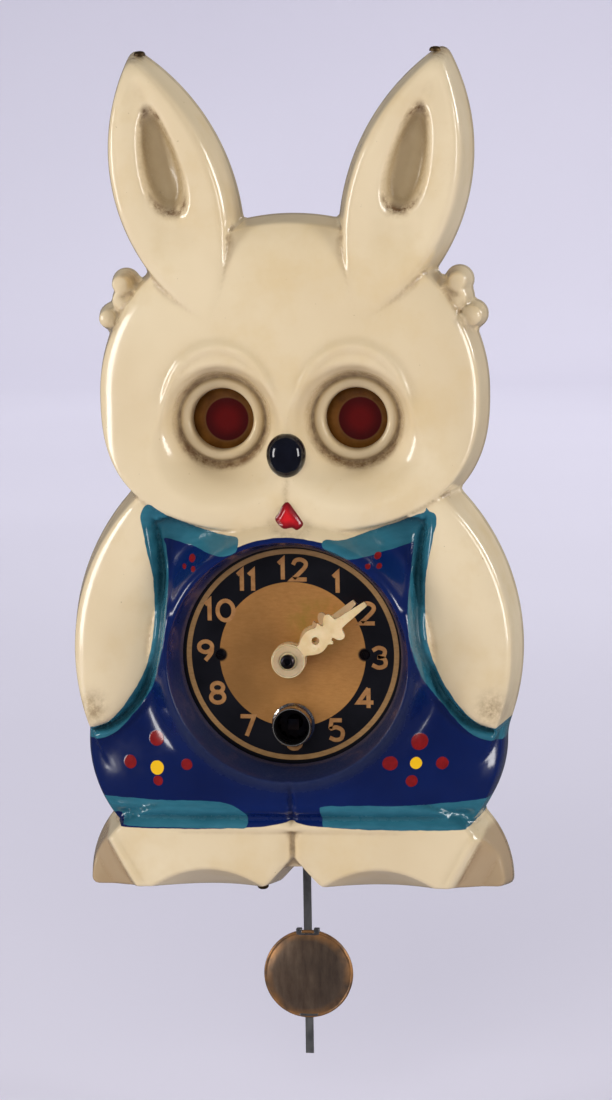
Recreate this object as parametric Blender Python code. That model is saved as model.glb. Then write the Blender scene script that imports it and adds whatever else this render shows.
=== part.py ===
"""Moving-eye pendulum wall clock in the shape of a rabbit.

X is to the viewer's right, Y goes back to the wall, Z is up. The origin is on the wall plane, behind the
centre of the dial. Shapes are worked out in millimetres and scaled to metres when each mesh is made.
"""
import math

import bmesh
import bpy
import numpy as np
from mathutils import Vector
from mathutils.geometry import delaunay_2d_cdt

MM = 0.001

# ---- driving dimensions, mm ----
WALL = 2.2            # thickness of the moulded shell
RIM_Y = -20.0         # back edge of the shell
DRAFT = 0.16          # how far a side wall leans in for each mm of its height
TOP_Z, FOOT_Z = 144.6, -58.5
BODY_RADIUS = 54.8
CURLS = ((40.2, 88.8, 3.55), (43.5, 80.6, 3.55), (38.6, 84.6, 5.2))    # x, z and radius of each lobe
BEZEL_RADIUS, BEZEL_HEIGHT = 28.7, 25.0
OPENING_RADIUS, OPENING_HEIGHT = 26.3, 15.0
EYE_X, EYE_Z = 16.0, 56.6
EYE_HOLE_RADIUS, EYE_HOLE_HEIGHT = 7.3, 10.0
EYE_RING_RADIUS, EYE_RING_HEIGHT = 10.4, 2.6      # the bead round each eye
NOSE_Z, NOSE_HALF_WIDTH, NOSE_HALF_HEIGHT = 48.6, 4.9, 5.4
DIAL_FRONT, DIAL_THICK, DIAL_RADIUS = -32.5, 0.5, 27.6
PLATE_FRONT, PLATE_BACK, PLATE_THICK = -28.5, -12.5, 1.0
BOX_HALF_WIDTH, BOX_TOP, BOX_BOTTOM, SHEET = 29.0, 40.0, -36.0, 1.0
FIT = 0.2             # gap between pieces that touch

CENTRE = (0.0, 0.0)
WINDING = (0.0, -16.8)
THIRD = (11.27, 7.61)
FOURTH = (7.6, 17.0)
ESCAPE = (0.0, 20.0)
VERGE = (0.0, 28.5)
MINUTE_STUD = (-6.0, 0.0)
CLICK_PIVOT = (5.6, -8.6)
BOB_Z = -84.2
ROD_END_Z = -104.5
MINUTE_ANGLE, HOUR_ANGLE = 53.6, 48.9      # degrees clockwise from 12

# ---- materials ----
PALETTE = {
    "ivory": ((0.83, 0.74, 0.55), 0.25, 0.0),
    "amber": ((0.42, 0.20, 0.03), 0.25, 0.0),
    "cream": ((0.86, 0.78, 0.58), 0.4, 0.0),
    "brass": ((0.62, 0.46, 0.20), 0.35, 1.0),
    "bronze": ((0.33, 0.24, 0.15), 0.4, 1.0),
    "steel": ((0.45, 0.45, 0.46), 0.35, 1.0),
    "blued": ((0.05, 0.05, 0.06), 0.4, 1.0),
    "nickel": ((0.62, 0.60, 0.57), 0.2, 1.0),
    "cover": ((0.24, 0.22, 0.20), 0.5, 0.8),
}


def material(name):
    if name in bpy.data.materials:
        return bpy.data.materials[name]
    colour, roughness, metallic = PALETTE[name]
    result = bpy.data.materials.new(name)
    result.use_nodes = True
    shader = result.node_tree.nodes["Principled BSDF"]
    shader.inputs["Base Color"].default_value = (*colour, 1.0)
    shader.inputs["Roughness"].default_value = roughness
    shader.inputs["Metallic"].default_value = metallic
    return result


# ---- flat outlines, as lists of (x, z) ----
def arc(centre, radius, start, end, count):
    """Points along an arc, angles in degrees counter-clockwise from +X."""
    angles = np.radians(np.linspace(start, end, count))
    return [(centre[0] + radius * math.cos(a), centre[1] + radius * math.sin(a)) for a in angles]


def circle(radius, count=24, centre=(0.0, 0.0)):
    return arc(centre, radius, 0, 360, count + 1)[:-1]


def rounded_rectangle(x0, z0, x1, z1, radius, count=4):
    return (arc((x1 - radius, z1 - radius), radius, 0, 90, count)
            + arc((x0 + radius, z1 - radius), radius, 90, 180, count)
            + arc((x0 + radius, z0 + radius), radius, 180, 270, count)
            + arc((x1 - radius, z0 + radius), radius, 270, 360, count))


def gear_outline(teeth, module, phase):
    """Pointed teeth with backlash: one is centred on the angle phase, in degrees counter-clockwise from +X."""
    radius = teeth * module / 2
    tip, root = radius + 0.75 * module, radius - 1.1 * module
    pitch = 360 / teeth
    outline = []
    for i in range(teeth):
        for share, r in ((-0.24, root), (0.0, tip), (0.24, root)):
            angle = math.radians(phase + (i + share) * pitch)
            outline.append((r * math.cos(angle), r * math.sin(angle)))
    return outline


def crossings(inner, outer, arms=4):
    """Windows that leave spokes between a hub and a rim."""
    half = 180 / arms - 12
    return [arc((0, 0), outer, k - half, k + half, 5) + arc((0, 0), inner, k + half * 0.8, k - half * 0.8, 3)
            for k in np.arange(arms) * 360 / arms + 45]


def direction(start, end):
    """Angle of the line between two points, in degrees."""
    return math.degrees(math.atan2(end[1] - start[1], end[0] - start[0]))


# ---- solids, as (vertices, faces) ----
def covered(loops, points):
    """Which points lie inside an odd number of closed loops."""
    hits = np.zeros(len(points), int)
    for loop in loops:
        for (ax, az), (bx, bz) in zip(loop, list(loop[1:]) + [loop[0]]):
            spans = (az > points[:, 1]) != (bz > points[:, 1])
            if az != bz:
                hits += spans & (points[:, 0] < ax + (points[:, 1] - az) / (bz - az) * (bx - ax))
    return hits % 2 == 1


def triangulate(loops, lines=(), points=()):
    """Triangles inside loops, with every point of the loops kept. Returns points, triangles, loops by index."""
    flat, edges, rings = [], [], []
    for line in [*loops, *lines]:
        ring = list(range(len(flat), len(flat) + len(line)))
        flat += [Vector((float(x), float(z))) for x, z in line]
        edges += list(zip(ring, ring[1:] + ring[:1]))
        rings.append(ring)
    flat += [Vector((float(x), float(z))) for x, z in points]
    found, _, faces, origins, _, _ = delaunay_2d_cdt(flat, edges, [], 0, 1e-6)
    place = {o: i for i, known in enumerate(origins) for o in known}
    found = np.array([tuple(v) for v in found])
    faces = np.array(faces)
    faces = faces[covered(loops, found[faces].mean(axis=1))]
    used = np.unique(faces)
    renumber = {int(v): i for i, v in enumerate(used)}
    rings = [[renumber[place[i]] for i in ring] for ring in rings[:len(loops)]]
    return found[used], [tuple(renumber[int(v)] for v in face) for face in faces], rings


def prism(outline, front, back, holes=()):
    """An outline pushed through from y = front to y = back."""
    points, triangles, rings = triangulate([outline, *holes])
    count = len(points)
    vertices = [(x, front, z) for x, z in points] + [(x, back, z) for x, z in points]
    faces = triangles + [tuple(i + count for i in face) for face in triangles]
    for ring in rings:
        faces += [(a, b, b + count, a + count) for a, b in zip(ring, ring[1:] + ring[:1])]
    return vertices, faces


def turned(profile, segments=16, ring=False, vertical=False):
    """A profile of (radius, along) turned about the Y axis, or about Z. A ring's profile is a closed loop."""
    vertices, rows, faces = [], [], []
    for radius, along in profile:
        count = 1 if radius == 0 else segments
        rows.append(list(range(len(vertices), len(vertices) + count)))
        for k in range(count):
            a, b = (radius * f(2 * math.pi * k / segments) for f in (math.cos, math.sin))
            vertices.append((a, b, along) if vertical else (a, along, b))
    pairs = list(zip(rows, rows[1:] + ([rows[0]] if ring else [])))
    for low, high in pairs:
        for k in range(segments):
            face = [low[k % len(low)], low[(k + 1) % len(low)], high[(k + 1) % len(high)], high[k % len(high)]]
            face = list(dict.fromkeys(face))
            if len(face) > 2:
                faces.append(tuple(face))
    return vertices, faces


def cylinder(radius, start, end, segments=16, vertical=False):
    return turned([(0, start), (radius, start), (radius, end), (0, end)], segments, vertical=vertical)


def block(low, high):
    (x0, y0, z0), (x1, y1, z1) = low, high
    return prism([(x0, z0), (x1, z0), (x1, z1), (x0, z1)], y0, y1)


def make(name, solid, finish, at=(0.0, 0.0, 0.0)):
    """An object from a solid whose numbers are relative to at, which becomes its origin."""
    vertices, faces = solid
    mesh = bpy.data.meshes.new(name)
    mesh.from_pydata([tuple(float(c) * MM for c in v) for v in vertices], [], faces)
    shape = bmesh.new()
    shape.from_mesh(mesh)
    bmesh.ops.recalc_face_normals(shape, faces=shape.faces)
    shape.to_mesh(mesh)
    shape.free()
    mesh.shade_smooth()
    mesh.set_sharp_from_angle(angle=math.radians(30))
    if finish:
        mesh.materials.append(material(finish))
    result = bpy.data.objects.new(name, mesh)
    result.location = Vector(at) * MM
    bpy.context.scene.collection.objects.link(result)
    return result


def boolean(target, operation, solid, at=None):
    """Joins a solid to an object or cuts it away; at is the object's own origin unless given."""
    place = tuple(target.location / MM) if at is None else at
    tool = make(f"{target.name}_{operation.lower()}_{len(target.modifiers)}", solid, None, place)
    tool.hide_render = True
    tool.display_type = "WIRE"
    step = target.modifiers.new(tool.name, "BOOLEAN")
    step.operation = operation
    step.object = tool
    step.solver = "EXACT"


# ---- the shell's relief: height in front of the rim, over (x, z) ----
def smooth_max(a, b, blend):
    overlap = np.maximum(blend - np.abs(a - b), 0) / blend
    return np.maximum(a, b) + overlap * overlap * blend / 4


def smooth_min(a, b, blend):
    return -smooth_max(-a, -b, blend)


def ramp(low, high, value):
    t = np.clip((value - low) / (high - low), 0, 1)
    return t * t * (3 - 2 * t)


def bump(value, width):
    return np.exp(-(value / width) ** 2)


def ear_inset(x, z):
    """A leaf between two arcs."""
    outer = 49.4 - np.hypot(x + 5.4, z - 120.0)
    inner = 55.0 - np.hypot(x - 66.2, z - 98.1)
    return smooth_min(outer, inner, 3.0)


def head_shape(x, z):
    """1 on the head's outline, less inside it."""
    power = np.where(z > 62.6, 2.0, 2.6)
    reach = np.where(z > 62.6, 42.4, 35.5)
    return (np.abs(x / 47.2) ** power + np.abs((z - 62.6) / reach) ** power + 1e-9) ** (1 / power)


def head_inset(x, z):
    small = 0.01
    shape = head_shape(x, z)
    slope = np.hypot(head_shape(x + small, z) - shape, head_shape(x, z + small) - shape) / small
    return (1 - shape) / np.maximum(slope, 0.01)


def curl_inset(x, z):
    """The curls at the side of the head."""
    return np.max([radius - np.hypot(x - u, z - v) for u, v, radius in CURLS], axis=0)


def body_inset(x, z):
    return BODY_RADIUS - np.hypot(x, z - 1.0)


def hip_inset(x, z):
    shape = np.hypot(x / 50.8, (z + 22.0) / 37.0)
    return np.minimum((1 - shape) * 44.0, z + 41.0)


def foot_inset(x, z):
    side = 25.5 - np.hypot(np.maximum(x - 26.5, 0), z + 56.9)
    notch = (x - (-52.5 - z) * 0.92) * 0.74
    return smooth_min(smooth_min(side, z - FOOT_Z, 2.0), notch, 1.0)


def inset(x, z):
    """Distance inside the whole outline."""
    x = np.abs(x)
    result = smooth_max(head_inset(x, z), body_inset(x, z), 1.0)
    for lobe in (hip_inset, foot_inset, ear_inset, curl_inset):
        result = smooth_max(result, lobe(x, z), 1.0)
    return result


def lobe_height(distance, face, edge=1.6, shoulder=1.8):
    """A drafted side wall that turns over a rounded shoulder into a face."""
    return smooth_min(distance / DRAFT, face - shoulder * np.exp(-np.maximum(distance, 0) / 1.8), edge)


def ear_hollow(x, z):
    """1 on the rim of the ear's teardrop hollow, less inside it."""
    up = z - 117.8
    half_width = 4.9 * (1 - 0.022 * up)
    return (np.abs((x - 29.4 - 0.213 * up) / half_width) ** 2.2 + np.abs(up / 12.8) ** 2.2 + 1e-9) ** (1 / 2.2)


def ear_height(x, z):
    depth = ear_inset(x, z)
    across = np.abs(x - 26.6 - 9.0 * np.clip((z - 104.0) / 36.0, 0, 1))
    face = 15.0 + 0.05 * np.clip(110 - z, 0, 40) + 1.6 * ramp(0, 4.5, depth)
    channel = 2.4 * bump(across, 5.5) * ramp(90, 104, z)
    hollow = 3.0 * (1 - ramp(0.74, 1.03, ear_hollow(x, z)))
    return lobe_height(depth, face - channel - hollow, 3.0, 2.6)


def head_height(x, z):
    shape = head_shape(x, z)
    chin = 8.0 * ramp(60, 32, z)
    bulge = np.clip(1 - shape ** 2, 0, 1) ** 0.6
    face = 11.0 + chin + (9.0 - 0.75 * chin) * bulge
    mound = np.hypot((x - 15.9) / 13.4, (z - 59.8) / 15.6)
    face = face + 0.9 * bump(mound - 0.94, 0.12)
    eye = np.hypot(x - EYE_X, z - EYE_Z)
    tilt = np.clip((z - EYE_Z) / 10.0, -1, 1)
    level = np.clip(eye - EYE_HOLE_RADIUS, 0, 1)
    ring = EYE_HOLE_HEIGHT + (EYE_RING_HEIGHT + 0.7 * tilt) * np.sqrt(level * (2 - level))
    ring = ring - 1.3 * ramp(EYE_RING_RADIUS - 1.2, EYE_RING_RADIUS, eye)
    dish = ring + (1.9 + 0.5 * tilt) * np.maximum(eye - EYE_RING_RADIUS, 0)
    face = smooth_min(face, dish, 2.2)
    nose = np.clip(1 - (x / NOSE_HALF_WIDTH) ** 2 - ((z - NOSE_Z) / NOSE_HALF_HEIGHT) ** 2, 0, 1)
    return lobe_height(head_inset(x, z), face + 3.6 * np.sqrt(nose))


def body_height(x, z):
    """Arms, overalls and the mound around the dial."""
    radius = np.hypot(x, z)
    sleeve = np.hypot((x - 44.0) / 11.0, (z - 4.0) / 30.0)
    face = 13.0 + 5.0 * np.clip(1 - sleeve ** 2, 0, 1) ** 0.7
    belly = 7.0 * ramp(-8, -26, z) * (1 - ramp(24, 52, x))
    mound = BEZEL_HEIGHT - 14.5
    face = np.maximum(face, 14.5 + belly + (mound - belly) * bump(radius - BEZEL_RADIUS, 5.0))
    body = lobe_height(body_inset(x, z), face)
    return np.where(head_inset(x, z) > 3.5, 0, body)


def hip_height(x, z):
    face = 12.0 + 11.0 * (1 - np.exp(-np.clip(50.8 - x, 0, 60) / 14.0))
    return lobe_height(hip_inset(x, z) + 1.0, face - 0.02 * (z + 30) ** 2, 2.0)


def foot_height(x, z):
    beyond = x - (45.8 + 0.55 * (z + 41.2))          # outwards of the ridge down the foot
    face = 21.0 - 0.9 * np.clip(beyond + 1.0, 0, 60) - 1.8 * ramp(0.0, 1.2, beyond)
    face = np.maximum(face, 11.5)
    arch = ((x - 20.5) / 12.5) ** 2 * 3.8
    face = face - 1.9 * np.clip(-50.6 - arch - z, 0, 8)
    crease = 2.6 * np.exp(-x / 1.3)
    return lobe_height(foot_inset(x, z), face - crease)


def relief(x, z):
    x = np.abs(np.asarray(x, float))
    z = np.asarray(z, float)
    height = smooth_max(head_height(x, z), ear_height(x, z), 1.0)
    for lobe in (body_height, hip_height, foot_height):
        height = smooth_max(height, lobe(x, z), 0.8)
    height = smooth_max(height, lobe_height(curl_inset(x, z), 10.5 + 0 * x), 0.5)
    radius = np.hypot(x, z)
    funnel = OPENING_HEIGHT + (BEZEL_HEIGHT - OPENING_HEIGHT) * np.clip(
        (radius - OPENING_RADIUS) / (BEZEL_RADIUS - OPENING_RADIUS), 0, 1) ** 0.8
    return np.where(radius < BEZEL_RADIUS, funnel, height)


def hollow(x, z):
    """Height of the shell's inner surface: the relief worn away all round by the wall's thickness."""
    height = relief(x, z) - WALL
    for share in (0.6, 1.0):
        reach = WALL * share
        drop = math.sqrt(WALL ** 2 - reach ** 2)
        for angle in np.arange(16) * math.pi / 8:
            near = relief(x + reach * math.cos(angle), z + reach * math.sin(angle))
            height = np.minimum(height, near - drop)
    return np.maximum(height, 0.3)


def contour(level, cell=1.0):
    """The closed line at a given distance inside the outline, found cell by cell on a square grid."""
    xs = np.arange(-60, 60 + cell, cell) + 0.013
    zs = np.arange(FOOT_Z - 4, TOP_Z + 4, cell) + 0.007
    value = inset(*np.meshgrid(xs, zs, indexing="ij")) - level
    following, place = {}, {}
    signs = value > 0
    mixed = (signs[:-1, :-1].astype(int) + signs[1:, :-1] + signs[1:, 1:] + signs[:-1, 1:]) % 4 != 0
    for i, j in np.argwhere(mixed):
        corners = [(i, j), (i + 1, j), (i + 1, j + 1), (i, j + 1)]
        leaving, entering = [], []
        for a, b in zip(corners, corners[1:] + corners[:1]):
            if signs[a] != signs[b]:
                t = value[a] / (value[a] - value[b])
                key = tuple(sorted((a, b)))
                place[key] = (xs[a[0]] + t * (xs[b[0]] - xs[a[0]]), zs[a[1]] + t * (zs[b[1]] - zs[a[1]]))
                (leaving if signs[a] else entering).append(key)
        following.update(zip(leaving, entering[-1:] + entering[:-1]))
    loops = []
    while following:
        key, onward = following.popitem()
        loop = [key]
        while onward in following:
            loop.append(onward)
            onward = following.pop(onward)
        loops.append([place[k] for k in loop])
    return max(loops, key=len)


def evenly(loop, spacing):
    """A closed line's points, set out again at an even spacing."""
    points = np.array(list(loop) + [loop[0]])
    length = np.concatenate([[0], np.cumsum(np.hypot(*np.diff(points, axis=0).T))])
    count = int(round(length[-1] / spacing))
    at = np.linspace(0, length[-1], count, endpoint=False)
    return list(zip(np.interp(at, length, points[:, 0]), np.interp(at, length, points[:, 1])))


def lattice(spacing, margin, eye_margin, dial_margin):
    """Points in staggered rows, clear of the outline, the eye holes and the dial opening."""
    rows = np.arange(FOOT_Z, TOP_Z, spacing * 0.866)
    points = np.array([(x + (k % 2) * spacing / 2, z) for k, z in enumerate(rows)
                       for x in np.arange(-60, 60, spacing)])
    x, z = points.T
    clear = inset(x, z) > margin
    clear &= np.hypot(np.abs(x) - EYE_X, z - EYE_Z) > eye_margin
    clear &= np.hypot(x, z) > dial_margin
    return points[clear]


def sheet(height, edge, lines, holes, points):
    """A surface over the outline: its vertices, its triangles, and the rings at its edge and holes."""
    flat, triangles, rings = triangulate([edge, *holes], lines, points)
    heights = height(flat[:, 0], flat[:, 1])
    heights[rings[0]] = 0.0
    return [(x, RIM_Y - h, z) for (x, z), h in zip(flat, heights)], triangles, rings


def shell_solid():
    eyes = [circle(EYE_HOLE_RADIUS, 20, (side * EYE_X, EYE_Z)) for side in (-1, 1)]
    holes = [*eyes, circle(OPENING_RADIUS, 56)]
    eye_lines = [circle(r, 20, (side * EYE_X, EYE_Z)) for side in (-1, 1) for r in (8.3, 9.3, EYE_RING_RADIUS, 12.6, 15.6)]
    nose_lines = [[(NOSE_HALF_WIDTH * r * math.cos(a), NOSE_Z + NOSE_HALF_HEIGHT * r * math.sin(a))
                   for a in np.radians(np.arange(0, 360, 30))] for r in (1.0, 0.7)]
    funnel_lines = [circle(r, 56) for r in (27.4, BEZEL_RADIUS)] + [circle(30.6, 48)]
    edge = evenly(contour(0.0), 2.2)
    outer_lines = [evenly(contour(level), spacing) for level, spacing in ((1.7, 2.2), (2.9, 3.0))]
    curl_points = [(side * x, z) for side in (-1, 1) for x, z, _ in CURLS]
    outer = sheet(relief, edge, outer_lines + eye_lines + nose_lines + funnel_lines, holes,
                  [*lattice(4.0, 4.8, 16.6, 33.0), *curl_points])
    inner_edge = evenly(contour(WALL), 3.4)
    inner_lines = [evenly(contour(3.9), 2.8)] + [circle(r, 40) for r in (28.4, 31.2)]
    inner_eye_lines = [circle(10.5, 14, (side * EYE_X, EYE_Z)) for side in (-1, 1)]
    inner = sheet(hollow, inner_edge, inner_lines + inner_eye_lines, holes, lattice(6.5, 7.0, 14.0, 35.0))
    vertices, faces = list(outer[0]), list(outer[1])
    shift = len(vertices)
    vertices += inner[0]
    faces += [tuple(i + shift for i in face) for face in inner[1]]
    for front, back in zip(outer[2][1:], inner[2][1:]):
        back = [i + shift for i in back]
        faces += list(zip(front, front[1:] + front[:1], back[1:] + back[:1], back))
    rim_points, rim_faces, rim_rings = triangulate([edge, inner_edge])
    place = dict(zip(rim_rings[0], outer[2][0]))
    place.update(zip(rim_rings[1], [i + shift for i in inner[2][0]]))
    faces += [tuple(place[i] for i in face) for face in rim_faces]
    return vertices, faces


# ---- case ----
EAR_SCREW = (35.2, -24.0)           # x and y of the screw down each ear tip
BASE_SCREW = (-9.2, -24.0)
LUGS = [(side * 24.6, z) for z in (24.0, -24.0) for side in (-1, 1)]


def front_shell():
    shell = make("front_shell", shell_solid(), "ivory")
    for x, z in LUGS:
        front = RIM_Y - float(relief(x, z)) + 1.0
        boss = turned([(0, front), (2.8, front), (2.8, PLATE_FRONT - FIT), (0, PLATE_FRONT - FIT)], 12)
        boolean(shell, "UNION", boss, (x, 0, z))
    for x, z in LUGS:
        boolean(shell, "DIFFERENCE", cylinder(1.15, -36.0, -20.0, 10), (x, 0, z))
    for side in (-1, 1):
        drill = turned([(0, 130), (1.05, 130), (1.05, 142.6), (1.7, 142.6), (1.7, 150), (0, 150)], 12,
                       vertical=True)
        boolean(shell, "DIFFERENCE", drill, (side * EAR_SCREW[0], EAR_SCREW[1], 0))
    boolean(shell, "DIFFERENCE", cylinder(1.05, -62, -52, 12, vertical=True), (*BASE_SCREW, 0))


def back_cover():
    """A pressed cover: a flange inside the shell's rim, and a box that stands the case off the wall."""
    flange = evenly(contour(3.5), 3.0)
    cover = make("back_cover", prism(flange, RIM_Y - 1.3, RIM_Y - 0.3), "cover")
    outer = rounded_rectangle(-BOX_HALF_WIDTH, BOX_BOTTOM, BOX_HALF_WIDTH, BOX_TOP, 5, 4)
    inner = rounded_rectangle(-BOX_HALF_WIDTH + SHEET, BOX_BOTTOM + SHEET,
                              BOX_HALF_WIDTH - SHEET, BOX_TOP - SHEET, 4, 4)
    boolean(cover, "UNION", prism(outer, RIM_Y - 0.8, 0.0))
    boolean(cover, "DIFFERENCE", prism(inner, RIM_Y - 5.0, -SHEET))
    keyhole = arc((0, 30.0), 3.6, 120, 420, 12) + arc((0, 36.5), 1.8, 0, 180, 6)
    boolean(cover, "DIFFERENCE", prism(keyhole, -3.0, 3.0))
    boolean(cover, "DIFFERENCE", block((-10, -14, BOX_BOTTOM - 3), (10, -5, BOX_BOTTOM + 3)))
    for side in (-1, 1):
        tab = prism([(side * 32.8, 134.5), (side * 37.4, 134.5), (side * 37.4, 135.4), (side * 32.8, 135.4)],
                    -27.0, RIM_Y - 0.8)
        boolean(cover, "UNION", tab)
        boolean(cover, "DIFFERENCE", cylinder(1.05, 130, 142, 12, vertical=True),
                (side * EAR_SCREW[0], EAR_SCREW[1], 0))
    boolean(cover, "UNION", block((-12.4, -27.0, -54.4), (-7.4, RIM_Y - 0.8, -53.4)))
    boolean(cover, "DIFFERENCE", cylinder(1.05, -60, -50, 12, vertical=True), (*BASE_SCREW, 0))


def case_screws():
    for side, name in ((-1, "left"), (1, "right")):
        profile = [(0, 133.0), (0.8, 133.0), (0.8, 142.9), (1.4, 142.9), (1.4, 143.9), (0.9, 144.4), (0, 144.4)]
        make(f"ear_screw_{name}", turned(profile, 12, vertical=True), "blued",
             (side * EAR_SCREW[0], EAR_SCREW[1], 0))
    profile = [(0, -51.0), (0.8, -51.0), (0.8, -58.4), (1.4, -58.4), (1.3, -59.1), (0.8, -59.4), (0, -59.4)]
    make("base_screw", turned(profile, 12, vertical=True), "blued", (*BASE_SCREW, 0))


# ---- dial and hands ----
def dial():
    holes = [circle(2.6, 16), circle(4.95, 24, WINDING), *[circle(0.8, 10, (s * 17.4, 0)) for s in (-1, 1)]]
    make("dial_plate", prism(circle(DIAL_RADIUS, 56), DIAL_FRONT, DIAL_FRONT + DIAL_THICK, holes), "brass")
    rim = [(4.0, -31.4), (4.75, -31.4), (4.75, -32.7), (5.2, -32.8), (5.2, -33.3), (4.75, -33.6),
           (4.75, -37.2), (4.6, -37.5), (4.3, -37.5), (4.0, -37.1)]
    make("key_ferrule", turned(rim, 24, ring=True), "nickel", (WINDING[0], 0, WINDING[1]))
    for side, name in ((-1, "left"), (1, "right")):
        head = DIAL_FRONT - 0.15
        profile = [(0, head - 0.5), (0.9, head - 0.4), (1.25, head), (0.55, head), (0.55, -30.2), (0, -30.2)]
        make(f"dial_screw_{name}", turned(profile, 12), "blued", (side * 17.4, 0, 0))
        post = [(0.75, DIAL_FRONT + DIAL_THICK + FIT), (1.9, DIAL_FRONT + DIAL_THICK + FIT),
                (1.9, PLATE_FRONT - FIT), (0.75, PLATE_FRONT - FIT)]
        make(f"dial_post_{name}", turned(post, 12, ring=True), "brass", (side * 17.4, 0, 0))


# half-width and distance from the centre, along one side of an ornate hand
HAND_EDGE = [(1.3, 4.9), (2.3, 5.6), (3.1, 7.0), (3.2, 8.6), (2.5, 10.2), (1.3, 11.0), (2.4, 11.4),
             (2.2, 12.2), (1.6, 12.6), (3.8, 13.0), (4.1, 13.9), (3.2, 14.6), (1.7, 15.0), (1.6, 16.2)]


def hand_outline(length, heading):
    """An ornate hand that points heading degrees clockwise from 12."""
    stretch = (length - 4.9) / (23.2 - 4.9)
    side = [(w, 4.9 + (u - 4.9) * stretch) for w, u in HAND_EDGE] + [(0.5, length - 0.6)]
    hub = arc((0, 0), 4.1, 108, 432, 18)
    outline = hub + side + [(0, length)] + [(-w, u) for w, u in reversed(side)]
    turn = math.radians(heading)
    return [(x * math.cos(turn) + u * math.sin(turn), u * math.cos(turn) - x * math.sin(turn))
            for x, u in outline]


def hands():
    make("hour_hand", prism(hand_outline(20.9, HOUR_ANGLE), -38.8, -37.6, [circle(2.1, 14)]), "cream")
    minute = make("minute_hand", prism(hand_outline(23.2, MINUTE_ANGLE), -42.2, -41.0, [circle(1.4, 14)]),
                  "cream")
    boolean(minute, "UNION", turned([(3.4, -42.0), (3.4, -42.8), (2.9, -43.2), (2.3, -43.2), (2.0, -42.8),
                                     (2.0, -42.0)], 18, ring=True))
    bush = [(0, -44.0), (0.9, -44.0), (1.7, -43.5), (1.7, -42.4), (0.85, -42.4), (0.85, -43.3), (0, -43.3)]
    make("hand_bush", turned(bush, 14), "blued")


# ---- motion work, between the dial and the front plate ----
def motion_work():
    cannon = make("cannon_pinion",
                  prism(gear_outline(12, 0.25, direction(CENTRE, MINUTE_STUD)), -29.7, -29.1,
                        [circle(0.75, 10)]), "steel")
    pipe = [(0.75, -29.4), (1.2, -29.4), (1.2, -41.9), (0.75, -41.9)]
    boolean(cannon, "UNION", turned(pipe, 10, ring=True))
    towards = direction(MINUTE_STUD, CENTRE)
    wheel = make("minute_wheel", prism(gear_outline(36, 0.25, towards + 5.0), -29.7, -29.1,
                                       [circle(0.75, 10)]), "brass", (MINUTE_STUD[0], 0, MINUTE_STUD[1]))
    pinion = prism(gear_outline(10, 0.24, towards), -31.3, -29.4, [circle(0.75, 10)])
    boolean(wheel, "UNION", pinion)
    hour = make("hour_wheel", prism(gear_outline(40, 0.24, direction(CENTRE, MINUTE_STUD) + 4.5), -31.3, -30.7,
                                    [circle(1.35, 12)]), "brass")
    boolean(hour, "UNION", turned([(1.35, -31.0), (1.9, -31.0), (1.9, -39.2), (1.35, -39.2)], 12, ring=True))
    stud = [(0, -31.8), (0.9, -31.8), (0.9, -31.5), (0.55, -31.5), (0.55, PLATE_FRONT + 0.7),
            (0, PLATE_FRONT + 0.7)]
    make("minute_wheel_stud", turned(stud, 10), "steel", (MINUTE_STUD[0], 0, MINUTE_STUD[1]))


# ---- plates, pillars and screws ----
PILLARS = [(-17.5, 29.0), (17.5, 29.0), (-17.8, -29.5), (17.8, -29.5)]
PIVOTS = {CENTRE: 1.1, THIRD: 0.55, FOURTH: 0.55, ESCAPE: 0.55, VERGE: 0.75, WINDING: 1.8}


def plates():
    outline = rounded_rectangle(-21, -33.5, 21, 33, 3, 4)
    pivots = [circle(r, 10, c) for c, r in PIVOTS.items()]
    front = make("front_plate", prism(outline, PLATE_FRONT, PLATE_FRONT + PLATE_THICK,
                                      pivots + [circle(0.75, 8, MINUTE_STUD), circle(0.8, 8, CLICK_PIVOT)]), "brass")
    for x, z in LUGS:
        reach = math.copysign(18.0, x)
        lug = arc((abs(x), 0), 3.2, -80, 80, 7) + [(18.0, 3.2), (18.0, -3.2)]
        lug = [(math.copysign(u, reach), v + z) for u, v in lug]
        boolean(front, "UNION", prism(lug, PLATE_FRONT, PLATE_FRONT + PLATE_THICK))
        boolean(front, "DIFFERENCE", cylinder(1.15, -32, -24, 10), (x, 0, z))
        screw = [(0, -26.0), (1.6, -26.0), (1.8, -26.3), (1.8, -27.3), (0.85, -27.3), (0.85, -35.0), (0, -35.0)]
        number = LUGS.index((x, z)) + 1
        make(f"movement_screw_{number}", turned(screw, 10), "steel", (x, 0, z))
    screw_holes = [circle(0.85, 8, c) for c in PILLARS]
    make("rear_plate", prism(outline, PLATE_BACK - PLATE_THICK, PLATE_BACK, pivots + screw_holes), "brass")
    for number, (x, z) in enumerate(PILLARS, 1):
        low, high = PLATE_FRONT + PLATE_THICK + FIT, PLATE_BACK - PLATE_THICK - FIT
        pillar = [(0, low), (1.7, low), (1.7, high), (0.85, high), (0.85, high - 4.0), (0, high - 4.0)]
        make(f"pillar_{number}", turned(pillar, 12), "brass", (x, 0, z))
        screw = [(0, -10.9), (1.3, -10.9), (1.6, -11.2), (1.6, PLATE_BACK + FIT), (0.6, PLATE_BACK + FIT),
                 (0.6, -17.0), (0, -17.0)]
        make(f"pillar_screw_{number}", turned(screw, 10), "steel", (x, 0, z))


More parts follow.
